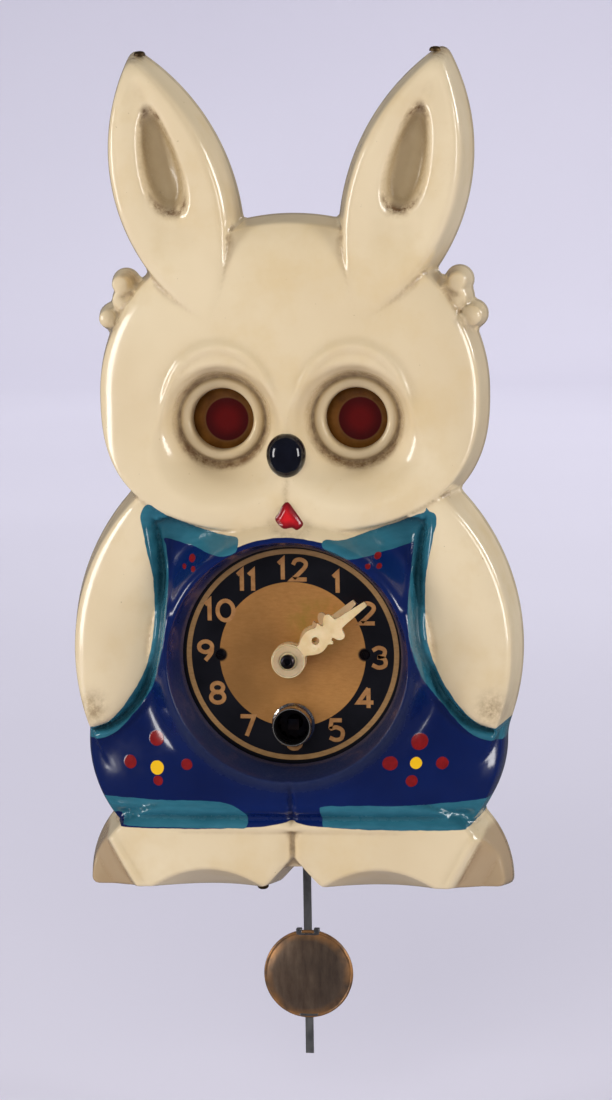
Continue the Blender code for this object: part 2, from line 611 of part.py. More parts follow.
# ---- going train ----
def arbor(name, at, radius, pinion, pinion_module, pinion_span, phase, ends=(-28.2, -12.8)):
    """A steel arbor with its pinion cut on it and a thin pivot at each end."""
    low, high = ends
    inner_low, inner_high = PLATE_FRONT + PLATE_THICK + 0.3, PLATE_BACK - PLATE_THICK - 0.3
    profile = [(0, low), (0.35, low), (0.35, inner_low), (radius, inner_low), (radius, inner_high),
               (0.35, inner_high), (0.35, high), (0, high)]
    result = make(name, turned(profile, 8), "steel", (at[0], 0, at[1]))
    leaves = gear_outline(pinion, pinion_module, phase)
    boolean(result, "UNION", prism(leaves, *pinion_span))


def wheel(name, at, teeth, module, span, phase, bore, hub):
    radius = teeth * module / 2
    holes = [circle(bore, 10), *crossings(hub, radius - 2.2 * module)]
    make(name, prism(gear_outline(teeth, module, phase), *span, holes), "brass", (at[0], 0, at[1]))


def train():
    half_pitch = 180 / 8
    centre = [(0, -43.0), (0.6, -43.0), (0.6, -28.9), (0.9, -28.9), (0.9, -12.9), (0, -12.9)]
    arbor_object = make("centre_arbor", turned(centre, 10), "steel")
    leaves = gear_outline(8, 0.6, direction(CENTRE, WINDING) + half_pitch)
    boolean(arbor_object, "UNION", prism(leaves, -27.2, -25.7))
    wheel("centre_wheel", CENTRE, 60, 0.4, (-17.2, -16.5), direction(CENTRE, THIRD), 1.05, 3.0)
    arbor("third_arbor", THIRD, 0.7, 8, 0.4, (-17.9, -15.8), direction(THIRD, CENTRE) + half_pitch)
    wheel("third_wheel", THIRD, 48, 0.36, (-21.5, -20.9), direction(THIRD, FOURTH), 0.85, 2.4)
    arbor("fourth_arbor", FOURTH, 0.7, 8, 0.36, (-22.2, -20.2), direction(FOURTH, THIRD) + half_pitch)
    wheel("fourth_wheel", FOURTH, 40, 0.34, (-25.2, -24.6), direction(FOURTH, ESCAPE), 0.85, 2.2)
    arbor("escape_arbor", ESCAPE, 0.6, 8, 0.34, (-25.8, -24.0), direction(ESCAPE, FOURTH) + half_pitch)
    teeth = []
    for k in range(24):
        start = math.radians(k * 15)
        for turn, r in ((0.0, 4.7), (math.radians(5), 6.0), (math.radians(9), 4.7)):
            teeth.append((r * math.cos(start + turn), r * math.sin(start + turn)))
    make("escape_wheel", prism(teeth, -19.0, -18.4, [circle(0.75, 10), *crossings(1.9, 3.8)]), "brass",
         (ESCAPE[0], 0, ESCAPE[1]))


def barrel():
    at = (WINDING[0], 0, WINDING[1])
    drum = make("barrel", prism(gear_outline(48, 0.6, direction(WINDING, CENTRE)), -27.0, -26.0,
                                [circle(1.8, 12)]), "brass", at)
    side = [(1.8, -26.5), (13.2, -26.5), (13.2, -18.5), (12.4, -18.5), (12.4, -25.4), (1.8, -25.4)]
    boolean(drum, "UNION", turned(side, 24, ring=True))
    turns, steps = 3.5, 14
    inside, outside, strip = 3.2, 11.6, 0.6
    angles = np.linspace(0, turns * 2 * math.pi, int(turns * steps) + 1)
    radii = inside + (outside - inside) * angles / angles[-1]
    outer = [((r + strip / 2) * math.cos(a), (r + strip / 2) * math.sin(a)) for a, r in zip(angles, radii)]
    inner = [((r - strip / 2) * math.cos(a), (r - strip / 2) * math.sin(a)) for a, r in zip(angles, radii)]
    make("mainspring", prism(outer + inner[::-1], -25.0, -19.0), "blued", at)
    winder = [(0, -30.0), (1.5, -30.0), (1.5, -28.6), (1.5, -12.0), (0, -12.0)]
    winding = make("winding_arbor", turned(winder, 12), "steel", at)
    boolean(winding, "UNION", prism([(-1.3, -1.3), (1.3, -1.3), (1.3, 1.3), (-1.3, 1.3)], -33.2, -29.5))
    saw = []
    for k in range(12):
        tip = math.radians(30 * k + 8)
        saw += [(4.4 * math.cos(tip), 4.4 * math.sin(tip)), (3.4 * math.cos(tip + 0.02), 3.4 * math.sin(tip + 0.02))]
    make("ratchet_wheel", prism(saw, -29.7, -29.0, [circle(2.0, 12)]), "steel", at)


def click_work():
    pivot = (CLICK_PIVOT[0], 0, CLICK_PIVOT[1])
    tip = np.array((3.86, -15.55)) - CLICK_PIVOT
    nose = [(tip[0] - 0.1, tip[1]), (tip[0] + 0.55, tip[1] - 0.1)]
    body = arc((0, 0), 1.8, -35, 205, 12)
    make("click", prism(nose + body, -29.7, -29.0, [circle(0.85, 10)]), "steel", pivot)
    screw = [(0, -30.5), (1.2, -30.4), (1.4, -29.9), (0.6, -29.9), (0.6, -27.7), (0, -27.7)]
    make("click_screw", turned(screw, 10), "blued", pivot)
    leaf = arc((9.4, -16.0), 3.5, 150, 240, 7)
    inner = arc((9.4, -16.0), 3.1, 240, 150, 7)
    make("click_spring", prism(leaf + inner, -29.6, -28.8), "steel")


# ---- escapement, eyes and pendulum: they rock together about the verge arbor ----
def rocker():
    at = (VERGE[0], 0, VERGE[1])
    spindle = [(0, -28.2), (0.5, -28.2), (0.5, -27.2), (0.8, -27.2), (0.8, -13.8), (0.6, -13.8), (0.6, -9.0),
               (0, -9.0)]
    make("verge_arbor", turned(spindle, 10), "steel", at)
    half = [(0, 1.7), (3.4, 1.1), (6.4, -0.9), (7.1, -3.5), (5.35, -4.0), (4.9, -2.2), (2.6, -1.3)]
    anchor = half + [(-x, z) for x, z in reversed(half[1:])]
    make("pallet_anchor", prism(anchor, -19.0, -18.4, [circle(0.95, 10)]), "steel", at)
    eye_z = EYE_Z - VERGE[1]
    stem = [(-2.4, 0), (-1.6, 4), (-1.6, eye_z - 4), (-EYE_X, eye_z - 3), *arc((-EYE_X, eye_z), 4, 250, 80, 8),
            (-4, eye_z + 1.5)]
    frame = [*arc((0, 0), 2.4, 180, 360, 8), *[(-x, z) for x, z in stem[1:]], *reversed(stem[1:])]
    make("eye_yoke", prism(frame, -24.4, -23.8, [circle(0.95, 10)]), "brass", at)
    for side, name in ((-1, "left"), (1, "right")):
        dome = [(0, -24.6), (10.4, -24.6), (10.6, -25.0), (9.4, -25.9), (6.5, -26.9), (3.2, -27.35), (0, -27.45)]
        offset = (side * EYE_X, 0, eye_z)
        vertices, faces = turned(dome, 24)
        vertices = [tuple(a + b for a, b in zip(v, offset)) for v in vertices]
        make(f"{name}_eye", (vertices, faces), "amber", at)
    hook = [*arc((0, 0), 1.8, 0, 180, 7), (-1.2, -10.0), (-1.2, -15.5), (1.2, -15.5), (1.2, -10.0)]
    crutch = make("pendulum_hook", prism(hook, -10.6, -10.0, [circle(0.75, 10)]), "steel", at)
    boolean(crutch, "UNION", turned([(0, -10.3), (0.45, -10.3), (0.45, -8.6), (0, -8.6)], 8),
            (VERGE[0], 0, VERGE[1] - 13.0))
    top, bottom = VERGE[1] - 11.0, ROD_END_Z
    strip = [(-1, bottom), (1, bottom), (1, top), (-1, top)]
    strip = [(x, z - VERGE[1]) for x, z in strip]
    make("pendulum_rod", prism(strip, -9.7, -9.2, [circle(0.65, 8, (0, -13.0))]), "steel", at)


def bob():
    """A hollow lens of two dished discs with a slot for the rod, and the clip that grips the rod."""
    at = (0, -9.45, BOB_Z)
    lens = [(0, -2.6), (5.0, -2.2), (9.0, -1.2), (11.1, -0.25), (11.1, 0.25), (9.0, 1.2), (5.0, 2.2), (0, 2.6)]
    disc = make("bob", turned(lens, 32), "bronze", at)
    boolean(disc, "DIFFERENCE", block((-2.6, -1.1, -20), (2.6, 1.1, 20)))
    clip = make("bob_clip", block((-2.3, -0.85, -9.6), (2.3, 0.85, 9.6)), "steel", at)
    boolean(clip, "DIFFERENCE", block((-1.25, -0.5, -20), (1.25, 0.5, 20)))


def main():
    for thing in list(bpy.data.objects):
        bpy.data.objects.remove(thing)
    for build in (front_shell, back_cover, case_screws, dial, hands, motion_work, plates, train, barrel,
                  click_work, rocker, bob):
        build()


main()
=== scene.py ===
import math

import bmesh
import bpy
import numpy as np
from mathutils import Matrix, Vector
from mathutils.geometry import delaunay_2d_cdt


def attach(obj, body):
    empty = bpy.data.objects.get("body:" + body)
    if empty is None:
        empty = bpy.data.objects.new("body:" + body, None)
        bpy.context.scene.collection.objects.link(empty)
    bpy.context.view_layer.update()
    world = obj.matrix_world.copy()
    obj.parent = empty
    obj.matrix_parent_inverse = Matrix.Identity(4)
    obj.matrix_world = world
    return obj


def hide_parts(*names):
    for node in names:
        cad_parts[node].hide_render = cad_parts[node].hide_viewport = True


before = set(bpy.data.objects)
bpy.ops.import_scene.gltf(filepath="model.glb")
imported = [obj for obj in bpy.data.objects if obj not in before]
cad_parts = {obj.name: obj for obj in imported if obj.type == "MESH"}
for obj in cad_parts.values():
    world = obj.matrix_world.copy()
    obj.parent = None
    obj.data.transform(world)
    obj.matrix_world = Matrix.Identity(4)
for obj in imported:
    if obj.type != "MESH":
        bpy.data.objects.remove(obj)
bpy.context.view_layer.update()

MM = 0.001

# ---------------------------------------------------------------- the shell's relief, mm
WALL, RIM_Y, DRAFT, SHOULDER_REACH = 2.2, -20.0, 0.16, 1.8
TOP_Z, FOOT_Z = 144.6, -58.5
BODY_RADIUS = 54.8
CURLS = ((40.2, 88.8, 3.55), (43.5, 80.6, 3.55), (38.6, 84.6, 5.2))
BEZEL_RADIUS, BEZEL_HEIGHT = 28.7, 25.0
OPENING_RADIUS, OPENING_HEIGHT = 26.3, 15.0
EYE_X, EYE_Z = 16.0, 56.6
EYE_HOLE_RADIUS, EYE_HOLE_HEIGHT = 7.3, 10.0
EYE_RING_RADIUS, EYE_RING_HEIGHT = 10.4, 2.6
NOSE_Z, NOSE_HALF_WIDTH, NOSE_HALF_HEIGHT = 48.6, 4.7, 5.3
HOLLOW_Z = 117.8                    # middle of the ears' hollows
KEY_Z, BOB_Z = -16.8, -84.2         # winding hole and pendulum bob
EAR_SCREW_X, DIAL_SCREW_X = 35.2, 17.4
GOLD_RADIUS, CHAPTER_RADIUS, RING_RADIUS = 17.6, 24.4, 25.6      # printed areas of the dial


def smooth_max(a, b, blend):
    overlap = np.maximum(blend - np.abs(a - b), 0) / blend
    return np.maximum(a, b) + overlap * overlap * blend / 4


def smooth_min(a, b, blend):
    return -smooth_max(-a, -b, blend)


def ramp(low, high, value):
    t = np.clip((value - low) / (high - low), 0, 1)
    return t * t * (3 - 2 * t)


def bump(value, width):
    return np.exp(-(value / width) ** 2)


def curve(points, count=10, closed=False):
    """A smooth line through points (Catmull-Rom)."""
    p = [np.array(q, float) for q in points]
    p = [p[-1], *p, p[0], p[1]] if closed else [2 * p[0] - p[1], *p, 2 * p[-1] - p[-2]]
    out = []
    for a, b, c, d in zip(p, p[1:], p[2:], p[3:]):
        for t in np.linspace(0, 1, count, endpoint=False):
            out.append(tuple(0.5 * (2 * b + (c - a) * t + (2 * a - 5 * b + 4 * c - d) * t * t
                                    + (3 * b - a - 3 * c + d) * t ** 3)))
    return out if closed else out + [tuple(p[-2])]


def line_distance(x, z, line, closed=False):
    """Distance to a line of points, and how far along it the nearest point is."""
    pts = np.array(list(line) + ([line[0]] if closed else []))
    best, along, run = np.full(x.shape, 1e9), np.zeros(x.shape), 0.0
    for (ax, az), (bx, bz) in zip(pts, pts[1:]):
        ux, uz = bx - ax, bz - az
        length = math.hypot(ux, uz) + 1e-12
        t = np.clip(((x - ax) * ux + (z - az) * uz) / length ** 2, 0, 1)
        d = np.hypot(x - ax - t * ux, z - az - t * uz)
        nearer = d < best
        best[nearer], along[nearer] = d[nearer], run + t[nearer] * length
        run += length
    return best, along


def covered(loops, x, z):
    hits = np.zeros(x.shape, int)
    for loop in loops:
        for (ax, az), (bx, bz) in zip(loop, list(loop[1:]) + [loop[0]]):
            if az != bz:
                hits += ((az > z) != (bz > z)) & (x < ax + (z - az) / (bz - az) * (bx - ax))
    return hits % 2 == 1


def region(x, z, loop):
    """Signed distance to a closed outline, positive inside."""
    return np.where(covered([loop], x, z), 1, -1) * line_distance(x, z, loop, True)[0]


# painted outlines on the viewer's right; the left side mirrors them with its own band ends
GROOVE = curve([(32.6, 33.0), (31.6, 26.0), (30.6, 17.0), (31.0, 5.0), (34.8, -6.2), (41.2, -14.6), (47.5, -17.6),
                (53.5, -18.6)])
GROOVE_INNER = list(GROOVE) + [(60, -60), (-1, -60), (-1, 40)]      # the body's side of the groove
SIDE_BAND = curve([(29.6, 27.0), (28.7, 16.2), (29.2, 5.5), (32.5, -5.5), (38.0, -13.5), (43.6, -18.9),
                   (49.3, -20.6), (56.0, -21.0)], 8) + curve(
    [(56.0, -15.8), (51.9, -16.6), (44.8, -15.9), (37.2, -7.0), (33.0, 4.0), (32.5, 17.8), (34.3, 28.0),
     (34.9, 33.2), (33.0, 36.0)], 8)
NECK_RIGHT = curve([(9.4, 29.2), (13.0, 28.8), (19.0, 30.2), (26.5, 32.6), (31.0, 34.6), (35.0, 34.6),
                    (34.6, 30.0), (30.4, 27.9), (24.0, 25.9), (17.0, 24.8), (11.8, 25.0), (9.0, 27.4)], 8, True)
NECK_LEFT = curve([(11.9, 29.6), (17.0, 30.0), (24.0, 32.0), (30.0, 35.2), (33.2, 37.2), (35.2, 34.2),
                   (33.6, 30.0), (29.4, 28.6), (22.0, 26.6), (16.0, 25.4), (12.2, 26.0), (11.2, 27.7)], 8, True)
HEM_RIGHT = curve([(6.9, -35.2), (10.0, -34.9), (24.0, -34.9), (37.0, -34.7), (44.0, -34.4), (52.0, -34.4)], 6) + \
    curve([(52.0, -42.0), (47.2, -38.8), (41.3, -40.7), (24.0, -40.9), (7.6, -40.2)], 6)
HEM_LEFT = curve([(10.4, -39.4), (11.2, -36.8), (15.0, -34.6), (22.0, -33.9), (34.0, -34.1), (41.5, -34.0),
                  (52.0, -34.2)], 6) + curve([(52.0, -42.0), (43.0, -38.0), (39.5, -40.2), (26.0, -40.6),
                                              (11.0, -40.6)], 6)
OVERALLS = curve([(35.0, 36.5), (34.6, 31.6), (32.3, 17.8), (32.8, 4.0), (37.0, -7.0), (44.8, -16.5),
                  (52.0, -17.2), (57.0, -17.5)], 8) + curve(
    [(57.0, -36.0), (50.0, -37.0), (44.5, -39.6), (38.0, -40.7), (20.0, -40.8), (8.0, -40.2), (3.0, -39.6),
     (0.0, -38.9)], 6)
OVERALLS = OVERALLS + [(-x, z) for x, z in reversed(OVERALLS)]
MOUTH = curve([(0.0, 37.8), (-1.1, 36.7), (-1.8, 35.2), (-2.7, 34.0), (-2.2, 32.7), (-0.5, 31.6), (1.4, 31.8),
               (2.7, 31.3), (4.0, 32.4), (3.3, 33.9), (1.8, 36.1), (0.8, 37.5)], 5, True)
RED_DOTS = [(-32.4, -19.3, 1.8), (-39.0, -25.2, 1.6), (-24.7, -25.0, 1.4), (-32.0, -29.3, 1.2),
            (30.8, -19.7, 2.0), (24.0, -24.4, 1.8), (36.1, -25.0, 1.5), (28.9, -28.9, 1.4),
            (-22.9, 24.3, 0.9), (-24.8, 22.3, 0.65), (-22.2, 22.1, 0.65),
            (21.5, 25.0, 0.8), (19.5, 23.0, 0.65), (21.9, 22.7, 0.65)]
YELLOW_DOTS = [(-32.2, -26.2, 1.7), (30.0, -24.7, 1.4)]


def ear_inset(x, z):
    outer = 49.4 - np.hypot(x + 5.4, z - 120.0)
    inner = 55.0 - np.hypot(x - 66.2, z - 98.1)
    return smooth_min(outer, inner, 3.0)


def head_shape(x, z):
    power = np.where(z > 62.6, 2.0, 2.6)
    reach = np.where(z > 62.6, 42.4, 35.5)
    return (np.abs(x / 47.2) ** power + np.abs((z - 62.6) / reach) ** power + 1e-9) ** (1 / power)


def head_inset(x, z):
    small = 0.01
    shape = head_shape(x, z)
    slope = np.hypot(head_shape(x + small, z) - shape, head_shape(x, z + small) - shape) / small
    return (1 - shape) / np.maximum(slope, 0.01)


def curl_inset(x, z):
    return np.max([r - np.hypot(x - u, z - v) for u, v, r in CURLS], axis=0)


def body_inset(x, z):
    return BODY_RADIUS - np.hypot(x, z - 1.0)


def hip_inset(x, z):
    shape = np.hypot(x / 50.8, (z + 22.0) / 37.0)
    return np.minimum((1 - shape) * 44.0, z + 41.0)


def foot_inset(x, z):
    side = 25.5 - np.hypot(np.maximum(x - 26.5, 0), z + 56.9)
    notch = (x - (-52.5 - z) * 0.92) * 0.74
    return smooth_min(smooth_min(side, z - FOOT_Z, 2.0), notch, 1.0)


def inset(x, z):
    x = np.abs(x)
    result = smooth_max(head_inset(x, z), body_inset(x, z), 1.0)
    for lobe in (hip_inset, foot_inset, ear_inset, curl_inset):
        result = smooth_max(result, lobe(x, z), 1.0)
    return result


def lobe_height(distance, face, edge=2.0, shoulder=1.8):
    """A drafted side wall that turns over a rounded shoulder into a face."""
    fall = np.exp(-np.maximum(distance, 0) / SHOULDER_REACH)
    return smooth_min(distance / DRAFT, face - shoulder * fall, edge)


def ear_hollow(x, z):
    """1 on the rim of the teardrop hollow, less inside it."""
    up = z - HOLLOW_Z
    wide = 4.9 * (1 - 0.022 * up)
    return (np.abs((x - 29.4 - 0.213 * up) / wide) ** 2.2 + np.abs(up / 12.8) ** 2.2 + 1e-9) ** (1 / 2.2)


def ear_height(x, z):
    along = np.clip((z - 104.0) / 36.0, 0, 1)
    across = np.abs(x - 26.6 - along * 9.0)
    depth = ear_inset(x, z)
    hollow = ear_hollow(x, z)
    face = 15.0 + 0.05 * np.clip(110 - z, 0, 40) + 1.6 * ramp(0, 4.5, depth)
    face = face - 2.4 * bump(across, 5.5) * ramp(90, 104, z) - 0.45 * bump(across, 2.2) * ramp(127, 134, z)
    face = face - 2.9 * (1 - ramp(0.66, 1.12, hollow)) - 0.5 * (1 - ramp(0.0, 0.8, hollow))
    return lobe_height(depth, face, 3.0, 2.6)


def head_height(x, z):
    shape = head_shape(x, z)
    chin = 8.0 * ramp(60, 32, z)
    bulge = np.clip(1 - shape ** 2, 0, 1) ** 0.6
    face = 11.0 + chin + (9.0 - 0.75 * chin) * bulge
    mound = np.hypot((x - 15.9) / 13.4, (z - 59.8) / 15.6)
    face = face + 0.9 * bump(mound - 0.94, 0.085) * ramp(44, 54, z)
    eye = np.hypot(x - EYE_X, z - EYE_Z)
    tilt = np.clip((z - EYE_Z) / 10.0, -1, 1)
    level = np.clip((eye - EYE_HOLE_RADIUS) / 1.0, 0, 1)
    ring = EYE_HOLE_HEIGHT + (EYE_RING_HEIGHT + 0.7 * tilt) * np.sqrt(np.clip(level * (2 - level), 0, 1))
    ring = ring - 1.3 * ramp(9.2, EYE_RING_RADIUS, eye)
    dish = ring + (1.9 + 0.5 * tilt) * np.maximum(eye - EYE_RING_RADIUS, 0)
    face = smooth_min(face, dish, 2.2 + 4.0 * ramp(2, -8, z - EYE_Z))
    face = face - 0.25 * bump(x, 0.7) * ramp(45, 42.5, z) * ramp(36.5, 38, z)
    return lobe_height(head_inset(x, z), face, 1.6)


def body_height(x, z):
    radius = np.hypot(x, z)
    groove, _ = line_distance(x, z, GROOVE)
    share = groove / (groove + np.clip(body_inset(x, z), 0.01, 60))
    outer = 12.4 + 6.0 * np.sqrt(np.clip(1 - ((share - 0.3) / 0.7) ** 2, 0, 1))
    arm = np.where(share > 0.3, outer, 18.4 - 1.6 * (1 - share / 0.3) ** 2)
    face = np.where(covered([GROOVE_INNER], x, z), 12.0, arm)
    chest = 14.5
    belly = 7.0 * ramp(-8, -26, z) * (1 - ramp(24, 52, x)) * ramp(-43, -41, z)
    mound = (BEZEL_HEIGHT - chest - belly) * bump(radius - BEZEL_RADIUS, 5.0)
    face = np.maximum(face, chest + belly + mound)
    return lobe_height(body_inset(x, z), face, 1.6)


def hip_height(x, z):
    face = 12.0 + 11.0 * (1 - np.exp(-np.clip(50.8 - x, 0, 60) / 14.0))
    return lobe_height(hip_inset(x, z) + 1.0, face - 0.02 * (z + 30) ** 2)


def past_facet(x, z):
    """How far a point lies past the edge of the foot's side facet."""
    return x - (45.8 + 0.55 * (z + 41.2))


def foot_height(x, z):
    beyond = past_facet(x, z)
    face = 21.0 - 0.9 * np.clip(beyond + 1.0, 0, 60) - 1.8 * ramp(0.0, 1.2, beyond)
    face = np.maximum(face, 11.5) + 0.7 * bump(beyond + 1.2, 1.1)
    arch = ((x - 20.5) / 12.5) ** 2 * 3.8
    face = face - 1.9 * np.clip(-50.6 - arch - z, 0, 8)
    crease = 2.6 * np.exp(-x / 1.3)
    return lobe_height(foot_inset(x, z), face - crease, 1.6)


def relief(side, z):
    """Height in front of the rim; only the mouth differs from side to side."""
    x = np.abs(side)
    height = smooth_max(head_height(x, z), ear_height(x, z), 1.0)
    height = smooth_max(height, body_height(x, z) - 26.0 * ramp(6.0, 9.0, head_inset(x, z)), 0.8)
    height = smooth_max(height, hip_height(x, z), 0.8)
    height = smooth_max(height, foot_height(x, z), 0.8)
    curl = lobe_height(curl_inset(x, z), 10.5 + 0 * x, 1.6)
    for u, v, r in CURLS[:2]:
        turn = np.hypot(x - u, z - v)
        curl = curl - 0.8 * bump(turn - 3.0, 0.7) * ramp(1.0, -1.0, x - u) + 0.8 * bump(turn, 1.6)
    height = smooth_max(height, curl, 0.5)
    flat = ramp(1.0, 3.6, inset(x, z))
    groove, _ = line_distance(x, z, GROOVE)
    inner = covered([GROOVE_INNER], x, z)
    offset = np.where(inner, groove, -groove)
    free = ramp(0.5, 2.5, -head_inset(x, z))        # the groove and its band stop at the chin
    height = height + flat * free * (-2.3 * bump(offset, 0.85) + 0.9 * bump(offset - 1.7, 0.8))
    legs = ramp(52.0, 47.0, x)
    height = height + flat * legs * (-1.5 * bump(z + 38.3, 1.0) + 0.5 * bump(z + 36.0, 0.9))
    height = height - flat * 1.2 * bump(x, 0.9) * ramp(-27, -33, z) * ramp(-41, -39, z)
    lips = region(side, z, MOUTH)
    height = height + 1.3 * ramp(-0.2, 1.5, lips)
    radius = np.hypot(x, z)
    funnel = OPENING_HEIGHT + (BEZEL_HEIGHT - OPENING_HEIGHT) * np.clip(
        (radius - OPENING_RADIUS) / (BEZEL_RADIUS - OPENING_RADIUS), 0, 1) ** 0.8
    return smooth_max(np.where(radius < BEZEL_RADIUS, funnel, height), 0 * x, 0.1)


def contour(level, cell=0.6):
    """The closed line at a given distance inside the outline, found cell by cell on a square grid."""
    xs = np.arange(-60, 60 + cell, cell) + 0.013
    zs = np.arange(FOOT_Z - 4, TOP_Z + 4, cell) + 0.007
    value = inset(*np.meshgrid(xs, zs, indexing="ij")) - level
    following, place = {}, {}
    signs = value > 0
    mixed = (signs[:-1, :-1].astype(int) + signs[1:, :-1] + signs[1:, 1:] + signs[:-1, 1:]) % 4 != 0
    for i, j in np.argwhere(mixed):
        corners = [(i, j), (i + 1, j), (i + 1, j + 1), (i, j + 1)]
        leaving, entering = [], []
        for a, b in zip(corners, corners[1:] + corners[:1]):
            if signs[a] != signs[b]:
                t = value[a] / (value[a] - value[b])
                key = tuple(sorted((a, b)))
                place[key] = (xs[a[0]] + t * (xs[b[0]] - xs[a[0]]), zs[a[1]] + t * (zs[b[1]] - zs[a[1]]))
                (leaving if signs[a] else entering).append(key)
        following.update(zip(leaving, entering[-1:] + entering[:-1]))
    loops = []
    while following:
        key, onward = following.popitem()
        loop = [key]
        while onward in following:
            loop.append(onward)
            onward = following.pop(onward)
        loops.append([place[k] for k in loop])
    return max(loops, key=len)


def evenly(loop, spacing):
    """The same closed line in equal steps."""
    points = np.array(list(loop) + [loop[0]])
    length = np.concatenate([[0], np.cumsum(np.hypot(*np.diff(points, axis=0).T))])
    count = int(round(length[-1] / spacing))
    at = np.linspace(0, length[-1], count, endpoint=False)
    return list(zip(np.interp(at, length, points[:, 0]), np.interp(at, length, points[:, 1])))


def circle(radius, count=24, centre=(0.0, 0.0), squash=1.0):
    angles = np.arange(count) * 2 * math.pi / count
    return [(centre[0] + radius * math.cos(a), centre[1] + squash * radius * math.sin(a)) for a in angles]


def triangulate(loops, lines=(), points=()):
    """Triangles between nested loops, with further lines and points held as vertices."""
    flat, edges, rings = [], [], []
    for line in [*loops, *lines]:
        ring = list(range(len(flat), len(flat) + len(line)))
        flat += [Vector((float(x), float(z))) for x, z in line]
        edges += list(zip(ring, ring[1:] + ring[:1]))
        rings.append(ring)
    flat += [Vector((float(x), float(z))) for x, z in points]
    found, _, faces, origins, _, _ = delaunay_2d_cdt(flat, edges, [], 0, 1e-6)
    place = {o: i for i, known in enumerate(origins) for o in known}
    found = np.array([tuple(v) for v in found])
    faces = np.array(faces)
    centre = found[faces].mean(axis=1)
    faces = faces[covered(loops, centre[:, 0], centre[:, 1])]
    used = np.unique(faces)
    renumber = np.zeros(len(found), int)
    renumber[used] = np.arange(len(used))
    rings = [[int(renumber[place[i]]) for i in ring] for ring in rings[:len(loops)]]
    return found[used], renumber[faces], rings


# ---------------------------------------------------------------- meshes
def make(name, vertices, faces, material, body, slot=None, smooth=35.0, hide=()):
    mesh = bpy.data.meshes.new(name)
    mesh.from_pydata([tuple(float(c) * MM for c in v) for v in vertices], [], [tuple(map(int, f)) for f in faces])
    mesh.update()
    shape = bmesh.new()
    shape.from_mesh(mesh)
    bmesh.ops.recalc_face_normals(shape, faces=shape.faces)
    shape.to_mesh(mesh)
    shape.free()
    mesh.shade_smooth()
    if smooth:
        mesh.set_sharp_from_angle(angle=math.radians(smooth))
    mesh.materials.append(material)
    piece = bpy.data.objects.new(name, mesh)
    bpy.context.scene.collection.objects.link(piece)
    if body:
        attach(piece, body)
    if hide:
        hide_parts(*hide)
    return piece


def turned(profile, segments=64, centre=(0, 0), vertical=False):
    """A profile of (radius, along) turned about Y through (x, z), or about Z through (x, y)."""
    vertices, rows, faces = [], [], []
    for radius, along in profile:
        count = 1 if radius == 0 else segments
        rows.append(list(range(len(vertices), len(vertices) + count)))
        for k in range(count):
            a, b = (radius * f(2 * math.pi * k / segments) for f in (math.cos, math.sin))
            vertices.append((centre[0] + a, centre[1] + b, along) if vertical
                            else (centre[0] + a, along, centre[1] + b))
    for low, high in zip(rows, rows[1:]):
        for k in range(segments):
            face = [low[k % len(low)], low[(k + 1) % len(low)], high[(k + 1) % len(high)], high[k % len(high)]]
            face = list(dict.fromkeys(face))
            if len(face) > 2:
                faces.append(tuple(face))
    return vertices, faces


def rounded(profile, count=5):
    """The same profile with its corners rounded off by a smooth line."""
    return [(max(r, 0.0), y) for r, y in curve(profile, count)]


def prism(outline, front, back, holes):
    points, triangles, rings = triangulate([outline, *holes])
    count = len(points)
    vertices = [(x, front, z) for x, z in points] + [(x, back, z) for x, z in points]
    faces = [tuple(f) for f in triangles] + [tuple(i + count for i in f) for f in triangles]
    for ring in rings:
        faces += [(a, b, b + count, a + count) for a, b in zip(ring, ring[1:] + ring[:1])]
    return vertices, faces


def bevelled(piece, width, segments=3):
    step = piece.modifiers.new("edge", "BEVEL")
    step.width = width * MM
    step.segments = segments
    step.limit_method = "ANGLE"
    step.angle_limit = math.radians(40)
    step.harden_normals = True


def add_wall(vertices, faces, loop, depths):
    """A band of faces from a loop of vertices to the same loop at other depths."""
    base, count = len(vertices), len(loop)
    vertices += [(vertices[i][0], y, vertices[i][2]) for i, y in zip(loop, depths)]
    faces += [(loop[k], loop[(k + 1) % count], base + (k + 1) % count, base + k) for k in range(count)]


